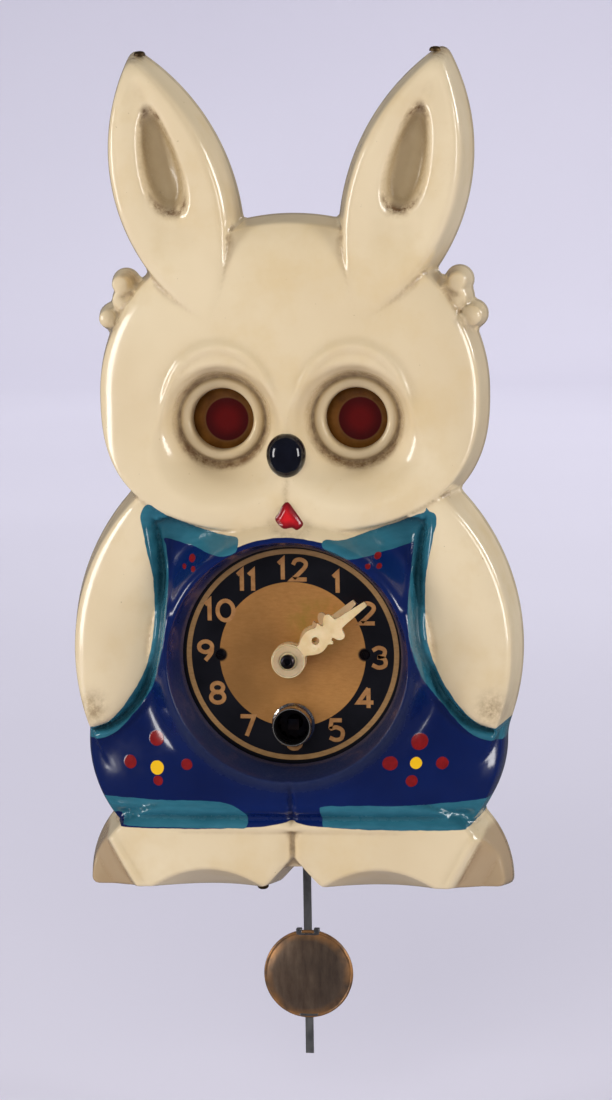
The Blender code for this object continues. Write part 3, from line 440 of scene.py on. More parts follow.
# ---------------------------------------------------------------- materials
class Paint:
    """A small helper round one node material."""

    def __init__(self, name, roughness=0.4, metallic=0.0, colour=(0.8, 0.8, 0.8), **uniform):
        self.material = bpy.data.materials.new(name)
        self.material.use_nodes = True
        self.nodes = self.material.node_tree.nodes
        self.links = self.material.node_tree.links
        self.shader = self.nodes["Principled BSDF"]
        self.shader.inputs["Roughness"].default_value = roughness
        self.shader.inputs["Metallic"].default_value = metallic
        self.shader.inputs["Base Color"].default_value = (*colour, 1)
        for key, value in uniform.items():
            self.shader.inputs[key.replace("_", " ")].default_value = value
        self.place = self.nodes.new("ShaderNodeTexCoord").outputs["Object"]
        self.height = None

    def value(self, socket, source):
        if isinstance(source, (int, float)):
            socket.default_value = source
        elif isinstance(source, tuple):
            socket.default_value = (*source, 1) if len(source) == 3 and socket.type == "RGBA" else source
        else:
            self.links.new(source, socket)

    def math(self, operation, a, b=0.0, c=0.0, clamp=False):
        node = self.nodes.new("ShaderNodeMath")
        node.operation = operation
        node.use_clamp = clamp
        for socket, source in zip(node.inputs, (a, b, c)):
            self.value(socket, source)
        return node.outputs[0]

    def noise(self, scale, detail=3.0, roughness=0.5, stretch=(1, 1, 1), at=(0, 0, 0)):
        mapping = self.nodes.new("ShaderNodeMapping")
        mapping.inputs["Scale"].default_value = stretch
        mapping.inputs["Location"].default_value = at
        self.links.new(self.place, mapping.inputs["Vector"])
        node = self.nodes.new("ShaderNodeTexNoise")
        node.inputs["Scale"].default_value = scale
        node.inputs["Detail"].default_value = detail
        node.inputs["Roughness"].default_value = roughness
        self.links.new(mapping.outputs[0], node.inputs["Vector"])
        return node.outputs["Fac"]

    def span(self, source, low, high, to_low=0.0, to_high=1.0, smooth=False):
        node = self.nodes.new("ShaderNodeMapRange")
        node.interpolation_type = "SMOOTHSTEP" if smooth else "LINEAR"
        for key, item in (("Value", source), ("From Min", low), ("From Max", high), ("To Min", to_low),
                          ("To Max", to_high)):
            self.value(node.inputs[key], item)
        return node.outputs["Result"]

    def mix(self, amount, a, b):
        node = self.nodes.new("ShaderNodeMix")
        node.data_type = "RGBA"
        self.value(node.inputs[0], amount)
        self.value(node.inputs[6], a)
        self.value(node.inputs[7], b)
        return node.outputs[2]

    def mottle(self, low, high, scale, detail=3.0, *more):
        return self.mix(self.span(self.noise(scale, detail, *more), 0.3, 0.7), low, high)

    def attribute(self, name):
        node = self.nodes.new("ShaderNodeAttribute")
        node.attribute_name = name
        return node.outputs["Fac"]

    def radius(self, x, z):
        """Distance in metres from a line along Y through (x, z), which is in mm."""
        node = self.nodes.new("ShaderNodeSeparateXYZ")
        self.links.new(self.place, node.inputs[0])
        a = self.math("SUBTRACT", node.outputs[0], x * MM)
        b = self.math("SUBTRACT", node.outputs[2], z * MM)
        return self.math("SQRT", self.math("ADD", self.math("MULTIPLY", a, a), self.math("MULTIPLY", b, b)))

    def within(self, x, z, full, none, amount=1.0):
        """1 inside the radius full and 0 outside the radius none, in mm, with a soft edge between."""
        return self.span(self.radius(x, z), full * MM, none * MM, amount, 0, True)

    def colour(self, source):
        self.value(self.shader.inputs["Base Color"], source)

    def over_colour(self, amount, colour):
        """Lays a further colour over the one that is linked."""
        self.colour(self.mix(amount, self.shader.inputs["Base Color"].links[0].from_socket, colour))

    def rough(self, source):
        self.value(self.shader.inputs["Roughness"], source)

    def uneven_gloss(self, low, high, scale, detail=3.0):
        self.rough(self.span(self.noise(scale, detail), 0.3, 0.7, low, high))

    def bump(self, source, distance, strength=1.0):
        node = self.nodes.new("ShaderNodeBump")
        node.inputs["Distance"].default_value = distance * MM
        node.inputs["Strength"].default_value = strength
        self.links.new(source, node.inputs["Height"])
        if self.height:
            self.links.new(self.height, node.inputs["Normal"])
        self.height = node.outputs[0]
        self.links.new(self.height, self.shader.inputs["Normal"])


def shell_paint():
    p = Paint("painted_shell", 0.2, Coat_Weight=0.25, Coat_Roughness=0.05, Specular_IOR_Level=0.35)
    wobble = p.span(p.noise(330, 2), 0, 1, -0.22, 0.22)

    def area(name, soft=0.05):
        """1 inside a painted area, with a brushed edge."""
        return p.span(p.math("ADD", p.attribute(name), wobble), -soft, soft)

    ivory = p.mix(p.span(p.noise(22, 3, 0.55), 0.35, 0.7), (0.70, 0.565, 0.355), (0.79, 0.665, 0.445))
    ivory = p.mix(p.span(p.noise(60, 4, 0.6, at=(3, 1, 2)), 0.5, 0.85), ivory, (0.68, 0.52, 0.28))
    crease = p.attribute("crease")
    grain = p.noise(420, 5, 0.65)
    grime = p.math("MULTIPLY", p.span(crease, 0.05, 0.5), p.span(grain, 0.32, 0.68), clamp=True)
    # painted shade: the ivory turns a darker brown in the creases, following the crease mask
    ivory = p.mix(p.math("MULTIPLY", p.span(crease, 0.0, 0.6), 0.55), ivory, (0.50, 0.36, 0.19))
    ivory = p.mix(p.math("MULTIPLY", grime, 0.6), ivory, (0.20, 0.12, 0.06))
    # socket: a darker brown in the ears' hollows and on the eye rings, and painted shade in the groove round each eye
    # ring, heaviest below it
    ivory = p.mix(p.attribute("socket"), ivory, (0.30, 0.205, 0.085))
    # stains: dirt in many places, and painted shade with grime in the groove round each eye ring, darkest below it
    stains_and_shade = p.math("MULTIPLY", p.attribute("dirt_and_shade"), p.span(p.noise(520, 5, 0.7, at=(5, 2, 1)), 0.3, 0.62))
    ivory = p.mix(stains_and_shade, ivory, (0.16, 0.088, 0.040))
    # painted shade: the feet's side facets, which face away from the light, are darker
    ivory = p.mix(p.math("MULTIPLY", p.attribute("facet"), 0.72), ivory, (0.30, 0.19, 0.095))
    speck = p.span(p.noise(900, 2, 0.5, at=(7, 3, 1)), 0.76, 0.8)
    ivory = p.mix(p.math("MULTIPLY", speck, 0.5), ivory, (0.25, 0.16, 0.09))
    blue = p.mix(p.span(p.noise(35, 3), 0.3, 0.75), (0.0022, 0.0085, 0.062), (0.0032, 0.0150, 0.100))
    funnel = p.attribute("funnel")
    dust = p.math("MULTIPLY", funnel, p.span(p.noise(1500, 4, 0.7), 0.42, 0.75))
    blue = p.mix(p.math("MULTIPLY", funnel, 0.5), blue, (0.012, 0.018, 0.040))
    blue = p.mix(p.math("MULTIPLY", dust, 0.25), blue, (0.045, 0.058, 0.085))
    teal = p.mix(p.span(p.noise(120, 3, 0.6, (1, 1, 3)), 0.3, 0.75), (0.018, 0.112, 0.160), (0.034, 0.165, 0.225))
    # painted shade: the teal turns darker in the bands' grooves
    teal = p.mix(p.math("MULTIPLY", p.span(crease, 0.12, 0.6), 0.5), teal, (0.008, 0.03, 0.04))
    red = p.mottle((0.17, 0.006, 0.008), (0.25, 0.009, 0.010), 500)
    mouth = p.attribute("mouth")
    lips = p.mix(p.span(mouth, 0.3, 1.9), (0.16, 0.006, 0.010), (0.62, 0.012, 0.018))
    colour = p.mix(area("overalls"), ivory, blue)
    colour = p.mix(area("bands"), colour, teal)
    colour = p.mix(area("red"), colour, red)
    colour = p.mix(area("yellow"), colour, (0.86, 0.50, 0.012))
    p.colour(p.mix(p.span(mouth, -0.06, 0.06), colour, lips))
    soiled = p.math("ADD", grime, p.math("ADD", dust, funnel))
    p.rough(p.math("ADD", p.span(p.noise(260, 4, 0.6), 0.3, 0.8, 0.12, 0.26), p.math("MULTIPLY", soiled, 0.35)))
    p.bump(p.noise(160, 2, 0.4), 0.05, 0.35)
    p.bump(p.math("ADD", area("bands", 0.12), area("red", 0.12)), 0.05, 0.7)
    p.bump(grain, 0.02, 0.2)
    return p.material


def metal(name, low, high, roughness=(0.25, 0.5), stretch=(1, 1, 1), scale=300, tarnish=None, amount=0.5,
          metallic=1.0, grain=0.02, **uniform):
    p = Paint(name, metallic=metallic, **uniform)
    fine = p.noise(scale, 5, 0.65, stretch)
    colour = p.mix(p.span(fine, 0.3, 0.7), low, high)
    if tarnish:
        spots = p.noise(scale * 0.3, 6, 0.65, at=(1, 4, 2))
        colour = p.mix(p.math("MULTIPLY", p.span(spots, 0.42, 0.72), amount), colour, tarnish)
    p.colour(colour)
    p.rough(p.span(p.noise(scale * 0.6, 4, 0.6, stretch), 0.3, 0.7, *roughness))
    p.bump(fine, grain, 0.5)
    return p


def brass(name):
    return metal(name, (0.50, 0.33, 0.12), (0.68, 0.49, 0.20), (0.22, 0.4), (1, 1, 8), 500, (0.22, 0.13, 0.06), 0.5)


def brass_shaded_at_key():
    """Brass painted near black round the winding arbor, as painted shade seen through the key hole."""
    p = brass("brass_shaded_at_key")
    p.over_colour(p.within(0, KEY_Z, 5.5, 7.5), (0.010, 0.007, 0.005))
    return p.material


BRASS = brass("brass_sheet").material
STEEL = metal("bright_steel", (0.36, 0.36, 0.37), (0.52, 0.52, 0.53), (0.22, 0.42), (1, 6, 1), 500,
              (0.17, 0.14, 0.11), 0.4).material
BLUED = metal("blued_steel", (0.020, 0.020, 0.026), (0.05, 0.05, 0.065), (0.3, 0.5), (1, 1, 1), 600,
              (0.16, 0.09, 0.05), 0.5).material
SPRING = metal("spring_steel", (0.03, 0.04, 0.07), (0.07, 0.09, 0.14), (0.2, 0.35), (1, 6, 1), 500).material
RUSTY = metal("rusty_screw", (0.05, 0.035, 0.025), (0.13, 0.085, 0.05), (0.45, 0.7), (1, 1, 1), 900,
              (0.30, 0.19, 0.07), 0.8).material
ROD = metal("worn_rod", (0.28, 0.28, 0.285), (0.45, 0.445, 0.44), (0.4, 0.62), (1, 1, 0.25), 900,
            (0.62, 0.62, 0.62), 0.55).material


def cover_paint():
    p = Paint("cover_lacquer", metallic=0.35)
    base = p.mottle((0.045, 0.042, 0.040), (0.085, 0.080, 0.074), 40, 4)
    worn = p.span(p.noise(170, 6, 0.7), 0.60, 0.72)
    p.colour(p.mix(p.math("MULTIPLY", worn, 0.6), base, (0.30, 0.27, 0.22)))
    p.uneven_gloss(0.35, 0.6, 300, 4)
    p.bump(p.noise(700, 3), 0.03, 0.4)
    return p.material


def dial_paint():
    """A brass disc: satin centre, black chapter ring and a plain outer ring, split by radius."""
    p = Paint("dial_print")
    r = p.radius(0, 0)

    def past(radius, low=0.0, high=1.0):
        """A printed edge at a radius."""
        return p.span(r, (radius - 0.03) * MM, (radius + 0.03) * MM, low, high)

    grain = p.noise(520, 5, 0.7, (1, 1, 3))
    gold = p.mix(p.span(grain, 0.2, 0.8), (0.60, 0.265, 0.068), (0.76, 0.375, 0.115))
    gold = p.mix(p.math("MULTIPLY", p.span(p.noise(38, 3, 0.5, at=(2, 0, 5)), 0.42, 0.7), 0.75), gold,
                 (0.33, 0.16, 0.045))
    stain = p.math("MULTIPLY", p.within(6, 7.5, 3, 9.5, 0.6), p.span(p.noise(260, 4, 0.6, at=(9, 0, 1)), 0.35, 0.65))
    gold = p.mix(stain, gold, (0.40, 0.29, 0.035))
    black = p.mix(p.span(p.noise(90, 4), 0.35, 0.8), (0.0045, 0.0045, 0.0075), (0.014, 0.014, 0.020))
    ring = p.mix(p.span(grain, 0.3, 0.7), (0.36, 0.20, 0.075), (0.50, 0.29, 0.12))
    colour = p.mix(past(GOLD_RADIUS), gold, black)
    colour = p.mix(past(CHAPTER_RADIUS), colour, ring)
    colour = p.mix(past(RING_RADIUS), colour, (0.006, 0.006, 0.009))
    for side in (-1, 1):
        colour = p.mix(p.within(side * DIAL_SCREW_X, 0, 1.3, 1.9), colour, (0.012, 0.012, 0.014))
    p.colour(colour)
    p.value(p.shader.inputs["Metallic"], past(GOLD_RADIUS, 0.35, 0.15))
    p.rough(p.math("ADD", p.span(p.noise(300, 4), 0.3, 0.7, 0.30, 0.42), past(GOLD_RADIUS, 0.0, -0.02)))
    p.bump(grain, 0.02, 0.35)
    return p.material


def ferrule_metal():
    p = metal("nickel_tube", (0.50, 0.49, 0.46), (0.70, 0.68, 0.64), (0.12, 0.28), (1, 5, 1), 500,
              (0.22, 0.17, 0.12), 0.5)
    # painted shade: the inside of the tube is near black and not metallic
    shaded_inside = p.span(p.radius(0, KEY_Z), 4.32 * MM, 4.46 * MM, 1, 0)
    p.over_colour(shaded_inside, (0.004, 0.004, 0.004))
    p.value(p.shader.inputs["Metallic"], p.math("SUBTRACT", 1.0, shaded_inside))
    return p.material


def eye_plastic(name, x):
    """Amber plastic with a red pupil, which sits a little off the eye's middle."""
    p = Paint(name, 0.12, Coat_Weight=0.2, Coat_Roughness=0.05, Specular_IOR_Level=0.3)
    middle = x + 0.56, EYE_Z - 0.35
    amber = p.mottle((0.085, 0.030, 0.005), (0.20, 0.078, 0.014), 160, 4, 0.6)
    amber = p.mix(p.within(*middle, 4.9, 5.8), amber, (0.15, 0.068, 0.022))
    red = p.mix(p.within(*middle, 1.5, 4.8), (0.062, 0.0034, 0.0028), (0.120, 0.0050, 0.0042))
    p.colour(p.mix(p.within(*middle, 4.95, 5.35), amber, red))
    p.uneven_gloss(0.1, 0.2, 500)
    p.bump(p.noise(300, 3), 0.02, 0.2)
    return p.material


def hand_plastic(name, low, high):
    p = Paint(name, 0.35, Subsurface_Weight=0.25, Subsurface_Scale=0.002, Coat_Weight=0.2)
    patches = p.math("MULTIPLY", p.span(p.noise(120, 4, at=(4, 4, 0)), 0.5, 0.75), 0.6)
    p.colour(p.mix(patches, p.mottle(low, high, 260, 4), (0.56, 0.36, 0.13)))
    p.uneven_gloss(0.25, 0.45, 500)
    p.bump(p.noise(600, 3), 0.03, 0.4)
    return p.material


def nose_paint():
    p = Paint("nose_enamel", 0.08, Coat_Weight=0.25, Coat_Roughness=0.03, Specular_IOR_Level=0.3)
    p.colour(p.mottle((0.0022, 0.0022, 0.0045), (0.005, 0.006, 0.012), 200))
    p.uneven_gloss(0.06, 0.12, 400)
    p.bump(p.noise(250, 2), 0.03, 0.25)
    return p.material


def bob_metal():
    p = metal("tarnished_bob", (0.12, 0.080, 0.058), (0.25, 0.175, 0.120), (0.32, 0.5), (2, 1, 0.4), 260,
              (0.065, 0.052, 0.046), 0.6, metallic=0.7)
    rim = p.span(p.radius(0, BOB_Z), 8.5 * MM, 10.8 * MM)
    p.over_colour(p.math("MULTIPLY", rim, p.span(p.noise(200, 4), 0.35, 0.6)), (0.55, 0.27, 0.10))
    return p.material


def gilt():
    p = Paint("numeral_gilt", 0.4, 0.25)
    p.colour(p.mottle((0.50, 0.225, 0.075), (0.66, 0.34, 0.125), 700, 4))
    p.uneven_gloss(0.35, 0.5, 500)
    return p.material


# ---------------------------------------------------------------- the shell
def build_shell():
    spacing = 0.62
    eyes = [circle(EYE_HOLE_RADIUS, 72, (s * EYE_X, EYE_Z)) for s in (-1, 1)]
    holes = [*eyes, circle(OPENING_RADIUS, 220)]
    eye_radii = (7.55, 7.9, 8.5, 9.1, 9.6, 9.95, 10.25, 10.7, 11.2)
    dial_radii = (26.7, 27.1, 27.5, 27.9, 28.3, 28.6, 28.8, 29.2, 29.7, 30.2)
    lines = [circle(r, 96, (s * EYE_X, EYE_Z)) for s in (-1, 1) for r in eye_radii]
    lines += [circle(r, 240) for r in dial_radii]
    levels = (0.35, 0.75, 1.15, 1.5, 1.8, 2.05, 2.3, 2.6, 2.95, 3.35)
    edge = evenly(contour(0.0), 0.9)
    rings = [evenly(contour(level), 0.8) for level in levels]
    rows = np.arange(FOOT_Z, TOP_Z, spacing * 0.866)
    points = np.array([(x + (k % 2) * spacing / 2, z) for k, z in enumerate(rows)
                       for x in np.arange(-60, 60, spacing)])
    x, z = points.T
    clear = inset(x, z) > 3.7
    clear &= np.hypot(np.abs(x) - EYE_X, z - EYE_Z) > eye_radii[-1] + 0.3
    clear &= np.hypot(x, z) > dial_radii[-1] + 0.4
    flat, faces, loops = triangulate([edge, *holes], [*rings, *lines], points[clear])
    x, z = flat.T
    height = relief(x, z)
    height[loops[0]] = 0.0
    vertices = [(a, RIM_Y - h, b) for (a, b), h in zip(flat, height)]
    faces = [tuple(f) for f in faces]
    for loop, depth in zip(loops[1:], (1.6, 1.6, 1.2)):       # the holes' walls
        add_wall(vertices, faces, loop, [vertices[i][1] + depth for i in loop])
    inner = evenly(contour(WALL), 1.2)
    rim, rim_faces, rim_loops = triangulate([edge, inner])
    place = {b: a for a, b in zip(loops[0], rim_loops[0])}
    for i in range(len(rim)):
        if i not in place:
            place[i] = len(vertices)
            vertices.append((rim[i][0], RIM_Y, rim[i][1]))
    faces += [tuple(place[i] for i in f) for f in rim_faces]
    ring = [place[i] for i in rim_loops[1]]
    add_wall(vertices, faces, ring, [RIM_Y - 8.0] * len(ring))
    shell = make("painted_shell", vertices, faces, shell_paint(), "case", "case", None, ["front_shell"])
    mark_shell(shell, *np.array(vertices, float)[:, ::2].T)


def mark_shell(shell, px, pz):
    """Attributes at each vertex that say where the paints, the dust, the stains and the painted shade are."""
    ax = np.abs(px)

    def store(name, values):
        field = shell.data.attributes.new(name, "FLOAT", "POINT")
        field.data.foreach_set("value", np.asarray(values, np.float32))

    radius = np.hypot(px, pz)
    overalls = np.minimum(region(px, pz, OVERALLS), -head_inset(ax, pz) - 0.2)
    store("overalls", np.maximum(overalls, 29.8 - radius))
    bands = region(ax, pz, SIDE_BAND)
    for side, neck, hem in ((1, NECK_RIGHT, HEM_RIGHT), (-1, NECK_LEFT, HEM_LEFT)):
        here = np.maximum(region(px * side, pz, neck), region(px * side, pz, hem))
        bands = np.maximum(bands, np.where(px * side > 0, here, -9))
    store("bands", bands)
    for name, dots in (("red", RED_DOTS), ("yellow", YELLOW_DOTS)):
        store(name, np.max([r - np.hypot(px - u, pz - v) for u, v, r in dots], axis=0))
    lips = region(px, pz, MOUTH)
    store("mouth", lips)
    eye = np.hypot(ax - EYE_X, pz - EYE_Z)
    below = ramp(4.0, -9.0, pz - EYE_Z)
    tear = ear_hollow(ax, pz)
    # darker in the ears' hollows and on the eye rings; painted shade in the groove round each ring, more below the
    # eyes
    store("socket", np.clip(0.62 * (1 - ramp(0.72, 1.0, tear)) + 0.28 * (1 - ramp(9.9, 10.6, eye))
                            + 0.5 * bump(eye - 10.7, 0.9) * (0.35 + 0.65 * below), 0, 1))
    lower = ramp(8, -22, pz)
    store("funnel", (1 - ramp(27.2, 28.9, radius)) * (0.35 + 0.65 * lower)
          + ramp(27, 29, radius) * (1 - ramp(29.5, 32.5, radius)) * lower * 0.8)
    # crease: how far a point lies below its neighbours; the shader lays painted shade and grime into the creases with
    # it
    crease = np.zeros(len(px))
    for reach, gain in ((0.9, 1.1), (2.2, 0.35)):
        near = np.mean([relief(px + reach * math.cos(a), pz + reach * math.sin(a))
                        for a in np.arange(8) * math.pi / 4], axis=0)
        hollow = np.clip((near - relief(px, pz)) * gain, 0, 1)
        hollow[(inset(px, pz) < reach + 0.6) | (radius < BEZEL_RADIUS + reach) | (eye < 8.0)] = 0
        crease = np.maximum(crease, hollow)
    crease = crease * (1 - 0.6 * ramp(23, 27, pz) * ramp(36, 33, pz))
    crease = crease * (1 - bump(np.hypot(ax - 40.5, pz + 37.5), 5.0))
    crease = crease * ramp(1.15, 1.35, np.hypot(px / NOSE_HALF_WIDTH, (pz - NOSE_Z) / NOSE_HALF_HEIGHT))
    store("crease", crease)
    dirt_and_shade = 0.75 * bump(np.hypot((ax - 47.8) / 3.0, (pz + 12.0) / 3.4), 1.0)
    along = (pz - HOLLOW_Z) / 12.6
    dirt_and_shade = dirt_and_shade + 0.85 * bump(tear - 0.93, 0.10) * ramp(0.45, 0.95, np.abs(along))
    dirt_and_shade = dirt_and_shade + 0.25 * bump(tear - 0.95, 0.07)
    # painted shade and grime in the groove round each eye ring, darker below it
    dirt_and_shade = dirt_and_shade + bump(eye - 10.35, 0.32) * (0.7 + 0.5 * below) + 1.1 * bump(eye - 11.0, 0.8) * below ** 2
    dirt_and_shade = dirt_and_shade + 0.35 * bump(lips + 1.3, 1.1) * ramp(35, 31, pz)
    for u, v, r in CURLS[:2]:
        dirt_and_shade = dirt_and_shade + 0.4 * bump(np.hypot(ax - u, pz - v) - 3.0, 0.9) * ramp(1.0, -1.0, ax - u)
    dirt_and_shade = dirt_and_shade + 0.9 * bump(np.hypot(ax - 36.0, pz - 143.2), 2.2)      # round the ear screws
    dirt_and_shade = dirt_and_shade + 0.3 * bump(px, 0.8) * ramp(46, 42, pz) * ramp(36, 38, pz)
    store("dirt_and_shade", np.clip(dirt_and_shade, 0, 1))
    # where the feet's side facets lie, for their painted shade
    store("facet", ramp(0.2, 1.4, past_facet(ax, pz)) * ramp(-41.5, -43.5, pz))


build_shell()


# ---------------------------------------------------------------- nose, eyes
def build_nose():
    vertices, faces = [], []
    rings, segments = 14, 56
    base_y = RIM_Y - float(relief(np.array([0.0]), np.array([NOSE_Z]))[0]) + 0.6
    for i in range(rings + 1):
        t = i / rings * math.pi / 2
        for k in range(segments):
            a = 2 * math.pi * k / segments
            wide = NOSE_HALF_WIDTH * (1 + 0.05 * math.sin(a))
            vertices.append((wide * math.cos(a) * math.cos(t), base_y - 4.2 * math.sin(t) ** 0.9,
                             NOSE_Z + NOSE_HALF_HEIGHT * math.sin(a) * math.cos(t)))
    for i in range(rings):
        for k in range(segments):
            n = (k + 1) % segments
            faces.append((i * segments + k, i * segments + n, (i + 1) * segments + n, (i + 1) * segments + k))
    make("nose", vertices, faces, nose_paint(), "case", "case", smooth=None)


build_nose()
for side, node in ((-1, "left_eye"), (1, "right_eye")):
    dome = rounded([(0, -27.45), (3.2, -27.4), (6.5, -27.0), (9.4, -26.0), (10.5, -25.1), (10.3, -24.65)], 6)
    make(f"{node}_lens", *turned(dome + [(0, -24.6)], 72, (side * EYE_X, EYE_Z)),
         eye_plastic(f"{node}_plastic", side * EYE_X), "pendulum", "eyes", 40, [node])

# ---------------------------------------------------------------- dial print
NUMERALS = {     # strokes in a box one high, x from the middle
    "0": [circle(0.33, 28, (0.0, 0.5), 1.5)],
    "1": [[(-0.16, 0.80), (0.02, 1.0), (0.02, 0.0)]],
    "2": [curve([(-0.26, 0.74), (-0.15, 0.95), (0.06, 1.0), (0.25, 0.86), (0.24, 0.64), (0.0, 0.32), (-0.29, 0.0)], 6)
          + [(0.30, 0.0)]],
    "3": [curve([(-0.25, 0.86), (0.0, 1.0), (0.24, 0.88), (0.20, 0.60), (-0.04, 0.53)], 6)
          + curve([(-0.04, 0.53), (0.24, 0.42), (0.26, 0.12), (0.0, 0.0), (-0.27, 0.14)], 6)],
    "4": [[(0.12, 0.0), (0.12, 1.0)], [(0.12, 1.0), (-0.30, 0.28), (0.32, 0.28)]],
    "5": [[(0.24, 1.0), (-0.18, 1.0), (-0.24, 0.56)] + curve([(-0.24, 0.56), (0.02, 0.64), (0.26, 0.46),
                                                            (0.22, 0.1), (-0.02, 0.0), (-0.27, 0.12)], 6)],
    "6": [curve([(0.22, 1.0), (-0.12, 0.66), (-0.27, 0.30), (-0.14, 0.03), (0.10, 0.0), (0.27, 0.2), (0.22, 0.48),
                 (0.0, 0.58), (-0.22, 0.42)], 6)],
    "7": [[(-0.28, 1.0), (0.28, 1.0), (-0.04, 0.0)]],
    "8": [circle(0.235, 20, (0.0, 0.765)), circle(0.275, 20, (0.0, 0.275))],
    "9": [circle(0.27, 24, (0.0, 0.71)), curve([(0.27, 0.71), (0.22, 0.38), (-0.02, 0.02)], 5)],
}


def stroke(line, half, closed):
    """The flat outline of a pen stroke."""
    pts = [np.array(p, float) for p in line]
    left, right = [], []
    count = len(pts)
    for i, p in enumerate(pts):
        a = pts[(i - 1) % count] if closed or i else p
        b = pts[(i + 1) % count] if closed or i < count - 1 else p
        u, v = p - a, b - p
        u = u / (np.linalg.norm(u) or 1)
        v = v / (np.linalg.norm(v) or 1)
        t = u + v
        t = t / (np.linalg.norm(t) or 1)
        n = np.array([-t[1], t[0]])
        widen = half / max(abs(float(np.dot(n, [-v[1], v[0]]))) if np.linalg.norm(v) else 1, 0.35)
        left.append(p + n * widen)
        right.append(p - n * widen)
    return left, right


def build_numerals():
    places = {"12": (0, 20.6), "1": (10.95, 17.4), "2": (18.1, 10.0), "3": (20.7, -0.7), "4": (17.4, -10.5),
              "5": (10.2, -18.3), "6": (0, -20.4), "7": (-11.2, -17.4), "8": (-18.3, -9.3), "9": (-21.0, 0.9),
              "10": (-17.9, 10.7), "11": (-10.7, 17.9)}
    height, widen, half, clear_of_key = 4.8, 1.22, 0.5, 5.1
    dial_y, lift = -32.53, 0.0                # each stroke lies a hair above the last one
    spacing = {"10": 3.8, "11": 2.7, "12": 3.9}
    vertices, faces = [], []
    for text, (cx, cz) in places.items():
        for index, letter in enumerate(text):
            shift = (index - 0.5) * spacing[text] if len(text) == 2 else 0
            if text in ("10", "12") and index == 0:
                shift -= 0.2
            for line in NUMERALS[letter]:
                closed = letter in "08" or (letter == "9" and line is NUMERALS["9"][0])
                pts = [(cx + shift + x * height * widen, cz + (z - 0.5) * height) for x, z in line]
                left, right = stroke(pts, half, closed)
                base, count = len(vertices), len(left)
                lift = (lift + 0.004) % 0.03
                vertices += [(x, dial_y - lift, z) for x, z in left + right]
                for k in range(count if closed else count - 1):
                    n = (k + 1) % count
                    l0, l1, r0, r1 = base + k, base + n, base + count + k, base + count + n
                    middle = np.mean([vertices[i] for i in (l0, l1, r0, r1)], axis=0)
                    if math.hypot(middle[0], middle[2] - KEY_Z) > clear_of_key:
                        faces.append((l0, l1, r1, r0))
    make("numerals", vertices, faces, gilt(), "case", "dial", smooth=None)


build_numerals()

# ---------------------------------------------------------------- hands
HUB_END, FULL_LENGTH = 4.3, 23.2          # of the minute hand; the hour hand's blade is shorter
HAND_EDGE = [(HUB_END, 1.47), (5.9, 2.45), (7.6, 3.0), (9.2, 2.8), (10.1, 2.5), (11.15, 3.0), (11.4, 2.1),
             (12.0, 1.85), (12.7, 3.0), (13.7, 3.5), (14.6, 3.05), (15.0, 1.5), (16.0, 1.15)]


def build_hand(name, node, body, length, heading, front, back, bore, material):
    stretch = (length - HUB_END) / (FULL_LENGTH - HUB_END)
    side = [(w, HUB_END + (u - HUB_END) * stretch) for u, w in HAND_EDGE]
    right = curve(side, 5) + [(0.62, length - 0.2), (0.4, length)]
    hub = [(4.05 * math.cos(a), 4.05 * math.sin(a)) for a in np.radians(np.linspace(112, 428, 60))]
    outline = hub + right + [(-w, u) for w, u in reversed(right)]
    turn = math.radians(heading)

    def placed(line):
        return [(x * math.cos(turn) + u * math.sin(turn), u * math.cos(turn) - x * math.sin(turn)) for x, u in line]

    hole = circle(0.95, 24, (0.0, 8.2 * (1 if stretch > 0.95 else 0.92)))
    vertices, faces = prism(placed(outline), front, back, [placed(circle(bore, 40)), placed(hole)])
    bevelled(make(name, vertices, faces, material, body, "hands", 40, [node]), 0.22)


HAND = hand_plastic("hand_plastic", (0.66, 0.48, 0.23), (0.80, 0.65, 0.40))
# painted shade: the hour hand gets a darker copy of the hand plastic, for the shade it lies in behind the minute hand
SHADED_HAND = hand_plastic("shaded_hand_plastic", (0.52, 0.33, 0.17), (0.64, 0.45, 0.25))
HUB = hand_plastic("hub_plastic", (0.46, 0.34, 0.19), (0.56, 0.43, 0.27))
build_hand("hour_pointer", "hour_hand", "hour", 20.9, 48.9, -38.8, -37.6, 2.1, SHADED_HAND)
build_hand("minute_pointer", "minute_hand", "minute", FULL_LENGTH, 53.6, -42.2, -41.0, 1.45, HAND)
collar = rounded([(2.1, -42.1), (2.1, -42.35), (2.4, -42.5), (3.2, -42.5), (3.7, -42.42), (3.9, -42.1)], 4)
make("minute_collar", *turned(collar, 64), HUB, "minute", "hands", smooth=None)


